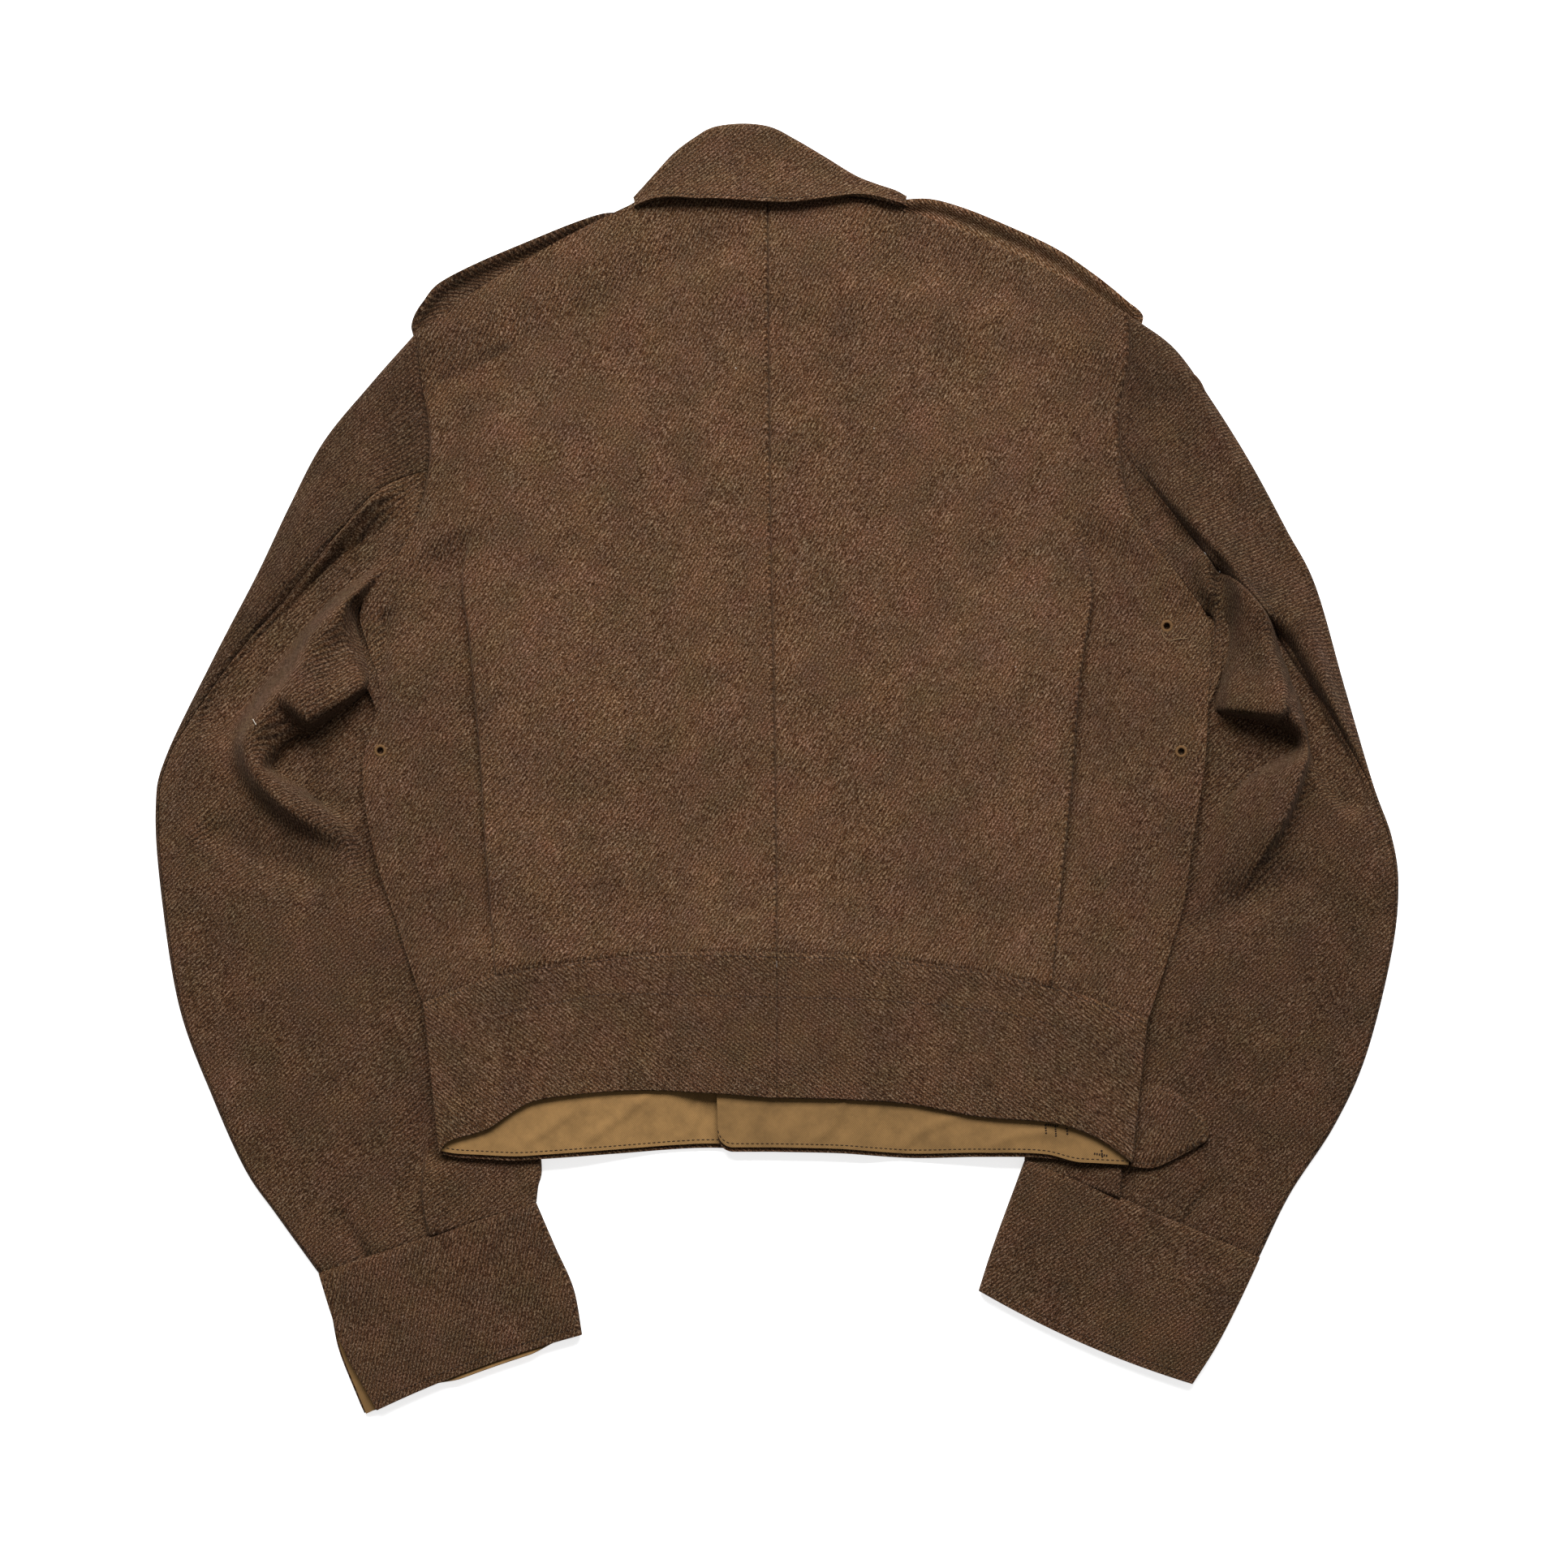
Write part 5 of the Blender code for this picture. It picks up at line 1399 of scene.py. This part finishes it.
def solid(name, corners, faces, finish):
    """A small closed piece from its corners, in millimetres, and its faces."""
    mesh = bpy.data.meshes.new(name)
    mesh.from_pydata((corners * MM).tolist(), [], faces)
    mesh.shade_smooth()
    mesh.materials.append(finish)
    piece = bpy.data.objects.new(name, mesh)
    scene.collection.objects.link(piece)
    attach(piece, "root")
    return piece


def top_at(grid, plan, above):
    """Heights of a grid's nearest points to plan points, raised by a wall."""
    far = np.linalg.norm(grid.reshape(-1, 3)[None, :, :2] - np.atleast_2d(plan)[:, None], axis=-1)
    return grid.reshape(-1, 3)[far.argmin(axis=1), 2] + above


def pierce(piece, places):
    """Cut round holes straight down through a piece of cloth."""
    turn = np.linspace(0, 2 * np.pi, PUNCH_SIDES, endpoint=False)
    circle = np.stack([np.cos(turn), np.sin(turn)], axis=-1) * EYELET_HOLE / 2
    index = np.arange(PUNCH_SIDES)
    onward = np.roll(index, -1)
    sides = np.stack([index, onward, onward + PUNCH_SIDES, index + PUNCH_SIDES], axis=-1).tolist()
    caps = [index[::-1].tolist(), (index + PUNCH_SIDES).tolist()]
    for place in places:
        ring = circle + np.array([place.x, place.y])
        corners = np.concatenate([with_height(ring, PUNCH_BOTTOM), with_height(ring, PUNCH_TOP)]) * MM
        mesh = bpy.data.meshes.new("punch")
        mesh.from_pydata(corners.tolist(), [], sides + caps)
        punch = bpy.data.objects.new("punch", mesh)
        scene.collection.objects.link(punch)
        cut = piece.modifiers.new("hole", "BOOLEAN")
        cut.object = punch
        whole = piece.data
        pierced = piece.evaluated_get(bpy.context.evaluated_depsgraph_get())
        piece.data = bpy.data.meshes.new_from_object(pierced)
        piece.modifiers.remove(cut)
        bpy.data.meshes.remove(whole)
        bpy.data.objects.remove(punch)
        bpy.data.meshes.remove(mesh)
        piece.data.name = piece.name


def eyelet(name, place, finish):
    """A bound rim: a flat torus whose thickness swells once for each stitch round it."""
    around, across = np.meshgrid(np.linspace(0, 2 * np.pi, 8 * EYELET_LOBES, endpoint=False),
                                 np.linspace(0, 2 * np.pi, 8, endpoint=False), indexing="ij")
    roll = EYELET_ROLL * (1.0 + EYELET_SWELL * np.cos(EYELET_LOBES * around))
    out = EYELET_RING + roll * np.cos(across)
    level = top_at(back_grid[place.side], (place.x, place.y), SERGE / 2)
    height = level + EYELET_FLATNESS * roll * np.sin(across)
    corners = np.stack([place.x + out * np.cos(around), place.y + out * np.sin(around), height], axis=-1)
    index = np.arange(around.size).reshape(around.shape)
    ahead, beside = np.roll(index, -1, axis=0), np.roll(index, -1, axis=1)
    faces = np.stack([index, ahead, np.roll(ahead, -1, axis=1), beside], axis=-1).reshape(-1, 4)
    return solid(name, corners.reshape(-1, 3), faces.tolist(), finish)


tan_thread = thread("tan_thread", EYELET_TAN)
for side in SIGN:
    pierce(backs[side], [place for place in EYELETS if place.side == side])
for number, place in enumerate(EYELETS):
    eyelet("eyelet_rim_%d" % number, place, tan_thread)


# The sewing: rows of brown thread that hold the edges of the collar, straps, bands, cuffs and tab, the
# hind-arm seam of the right sleeve and the facing of the waistband.
STITCH_PITCH = 2.9
STITCH_SHARE = 0.66
STITCH_RADIUS = 0.3
STITCH_EDGE = 2.3
STITCH_BROWN = (0.020, 0.0105, 0.0055, 1.0)
HIND_ARM_EDGE = 5.0
HIND_ARM_ROWS = 150
BAND_LINE = 26.0
BAND_LINE_REACH = 165.0
CUFF_HEM = 4.8
STITCH_WAY = np.array([0.0, 0.2, 0.5, 0.8, 1.0])
STITCH_SWELL = np.array([0.25, 0.85, 1.0, 0.85, 0.25])
STITCH_SIDES = 6
COLLAR_INSET = 4
UPRIGHT = np.array([0.0, 0.0, 1.0])


def at_length(grid, distance):
    """Points at a given length along each row of a grid, from its first column."""
    steps = np.linalg.norm(np.diff(grid, axis=1), axis=-1)
    run = np.concatenate([np.zeros((len(grid), 1)), np.cumsum(steps, axis=1)], axis=1)
    before = np.clip((run < distance).sum(axis=1) - 1, 0, grid.shape[1] - 2)[:, None]
    start = np.take_along_axis(run, before, 1)
    share = (distance - start) / (np.take_along_axis(run, before + 1, 1) - start)
    low = np.take_along_axis(grid, before[..., None], 1)[:, 0]
    high = np.take_along_axis(grid, before[..., None] + 1, 1)[:, 0]
    return low + share * (high - low)


def even(path, pitch):
    """Points on a path at an even pitch."""
    run = np.concatenate([[0.0], np.cumsum(np.linalg.norm(np.diff(path, axis=0), axis=-1))])
    stations = np.linspace(0, run[-1], max(int(run[-1] / pitch), 1) + 1)
    return np.stack([np.interp(stations, run, path[:, axis]) for axis in range(3)], axis=-1)


def tube_faces(corners):
    """Faces of tubes whose corners run along and then round each of them, both ends capped."""
    index = np.arange(corners[..., 0].size).reshape(corners.shape[:-1])
    beside = np.roll(index, -1, axis=-1)
    corners_of = [index[..., :-1, :], beside[..., :-1, :], beside[..., 1:, :], index[..., 1:, :]]
    sides = np.stack(corners_of, axis=-1)
    caps = np.stack([index[..., 0, ::-1], index[..., -1, :]]).reshape(-1, index.shape[-1])
    return sides.reshape(-1, 4).tolist() + caps.tolist()


def stitches(name, paths, finish, pitch=STITCH_PITCH, radius=STITCH_RADIUS):
    """Rows of stitches: on each pitch of a path one spindle of thread, thick in the middle."""
    marks = [even(path, pitch) for path in paths]
    start = np.concatenate([mark[:-1] for mark in marks])
    along = (np.concatenate([mark[1:] for mark in marks]) - start) * STITCH_SHARE
    beside = unit(np.cross(along, UPRIGHT))
    above = unit(np.cross(beside, along))
    way = STITCH_WAY[None, :, None, None]
    thick = radius * STITCH_SWELL[None, :, None, None]
    turn = np.linspace(0, 2 * np.pi, STITCH_SIDES, endpoint=False)[None, None, :, None]
    corners = (start[:, None, None] + way * along[:, None, None]
               + thick * (np.cos(turn) * beside[:, None, None] + np.sin(turn) * above[:, None, None]))
    return solid(name, corners.reshape(-1, 3), tube_faces(corners), finish)


def raised(path, wall):
    """A path lifted onto the top of a wall."""
    return path + UPRIGHT * wall


brown_thread = thread("brown_thread", STITCH_BROWN)
collar_row = collar_grid[COLLAR_INSET:-COLLAR_INSET]
stitches("collar_stitches", [raised(at_length(collar_row, STITCH_EDGE), DOUBLED / 2)], brown_thread)
strap_rows = [strap_grid["left"], strap_grid["right"][:, ::-1]]
stitches("strap_stitches", [raised(at_length(row, STITCH_EDGE), DOUBLED) for row in strap_rows], brown_thread)
hind_arm = sleeve_grid["top_sleeve_right"][:HIND_ARM_ROWS, ::-1]
stitches("sleeve_stitches", [at_length(hind_arm, HIND_ARM_EDGE)], brown_thread)
band_rows = []
for side in SIGN:
    down = band_grid[side].transpose(1, 0, 2)
    band_rows.append(raised(at_length(down, STITCH_EDGE), DOUBLED))
    line = raised(at_length(down, BAND_LINE), DOUBLED)
    band_rows.append(line[np.abs(line[:, 0]) < BAND_LINE_REACH])
    band_rows.append(raised(at_length(lining_grid[side].transpose(1, 0, 2)[:, ::-1], STITCH_EDGE), DRILL))
stitches("band_stitches", band_rows, brown_thread)
cuff_tops = [cuff_grid["left"][:, :CUFF_STEPS], cuff_grid["right"][::-1, :CUFF_STEPS]]
cuff_rows = [grid.transpose(1, 0, 2) for grid in cuff_tops]
stitches("cuff_stitches", [raised(at_length(row, CUFF_HEM), DOUBLED / 2) for row in cuff_rows], brown_thread)
tab_rows = [tab_grid, tab_grid[:, ::-1]]
stitches("tab_stitches", [raised(at_length(row, STITCH_EDGE), DOUBLED) for row in tab_rows], brown_thread)


# Wear: bar tacks on the facing, a thread come loose from an eyelet, a worn loop on the right sleeve's
# outer fold, and a few specks of pale lint caught in the nap.
TACK_PITCH = 1.3
LINT_PALE = (0.42, 0.38, 0.32, 1.0)
LOOSE_TAN = (0.17, 0.11, 0.055, 1.0)
LOOP_BROWN = (0.055, 0.027, 0.012, 1.0)
TACKS = [
    ((158.0, -209.5), (158.4, -215.5)),
    ((163.8, -210.5), (164.2, -217.0)),
    ((170.5, -211.5), (171.0, -216.0)),
    ((158.0, -209.5), (166.0, -210.5)),
    ((191.0, -224.5), (191.6, -229.5)),
    ((186.5, -226.6), (195.0, -228.0)),
]
TACK_RADIUS = 0.65
LOOSE_THREAD = [(227.0, 80.5), (228.6, 77.4), (232.0, 75.6), (237.0, 76.6), (242.0, 76.8)]
LOOSE_RADIUS = 0.26
LOOSE_CLEAR = 0.2
LINT = [
    ((-24.5, 236.6), (-24.0, 235.7)),
    ((-307.0, 28.8), (-305.0, 25.5)),
    ((-220.4, -322.8), (-219.7, -323.4)),
    ((57.0, 201.0), (57.5, 200.4)),
    ((140.0, 60.0), (140.4, 59.5)),
    ((-120.0, 40.0), (-119.5, 40.5)),
]
LINT_RADIUS = 0.25
LOOP = [(243.4, 233.6), (246.9, 230.8), (249.7, 227.0), (251.6, 223.0)]
LOOP_RADIUS = 1.0
LOOP_HEIGHT = 5.6
STRAND_STEPS = 8
STRAND_SIDES = 8


def strand(name, path, radius, finish):
    """A round strand: a circle carried along a smooth curve through points in space."""
    knots = np.array(path, dtype=float)
    way = np.linspace(0, len(knots) - 1, STRAND_STEPS * (len(knots) - 1) + 1)
    line = np.stack([through(knots[:, axis], way) for axis in range(3)], axis=-1)
    onward = unit(np.gradient(line, axis=0))
    beside = unit(np.cross(onward, UPRIGHT))
    above = np.cross(beside, onward)
    turn = np.linspace(0, 2 * np.pi, STRAND_SIDES, endpoint=False)[None, :, None]
    corners = line[:, None] + radius * (np.cos(turn) * beside[:, None] + np.sin(turn) * above[:, None])
    return solid(name, corners.reshape(-1, 3), tube_faces(corners), finish)


tack_paths = [with_height(np.array(tack), top_at(lining_grid["right"], tack, DRILL)) for tack in TACKS]
stitches("bar_tacks", tack_paths, brown_thread, TACK_PITCH, TACK_RADIUS)
loose_top = top_at(back_grid["right"], LOOSE_THREAD, SERGE / 2 + LOOSE_CLEAR)
loose_path = with_height(np.array(LOOSE_THREAD), loose_top)
strand("loose_thread", loose_path, LOOSE_RADIUS, thread("loose_thread", LOOSE_TAN))
open_grids = [*back_grid.values(), *sleeve_grid.values(), *cuff_grid.values()]
all_tops = np.concatenate([grid.reshape(-1, 3) for grid in open_grids])[None]
pale_lint = thread("lint", LINT_PALE)
for number, speck in enumerate(LINT):
    speck_path = with_height(np.array(speck), top_at(all_tops, speck, DOUBLED / 2))
    strand("lint_%d" % number, speck_path, LINT_RADIUS, pale_lint)
strand("sleeve_loop", with_height(np.array(LOOP), LOOP_HEIGHT), LOOP_RADIUS, thread("loop", LOOP_BROWN))
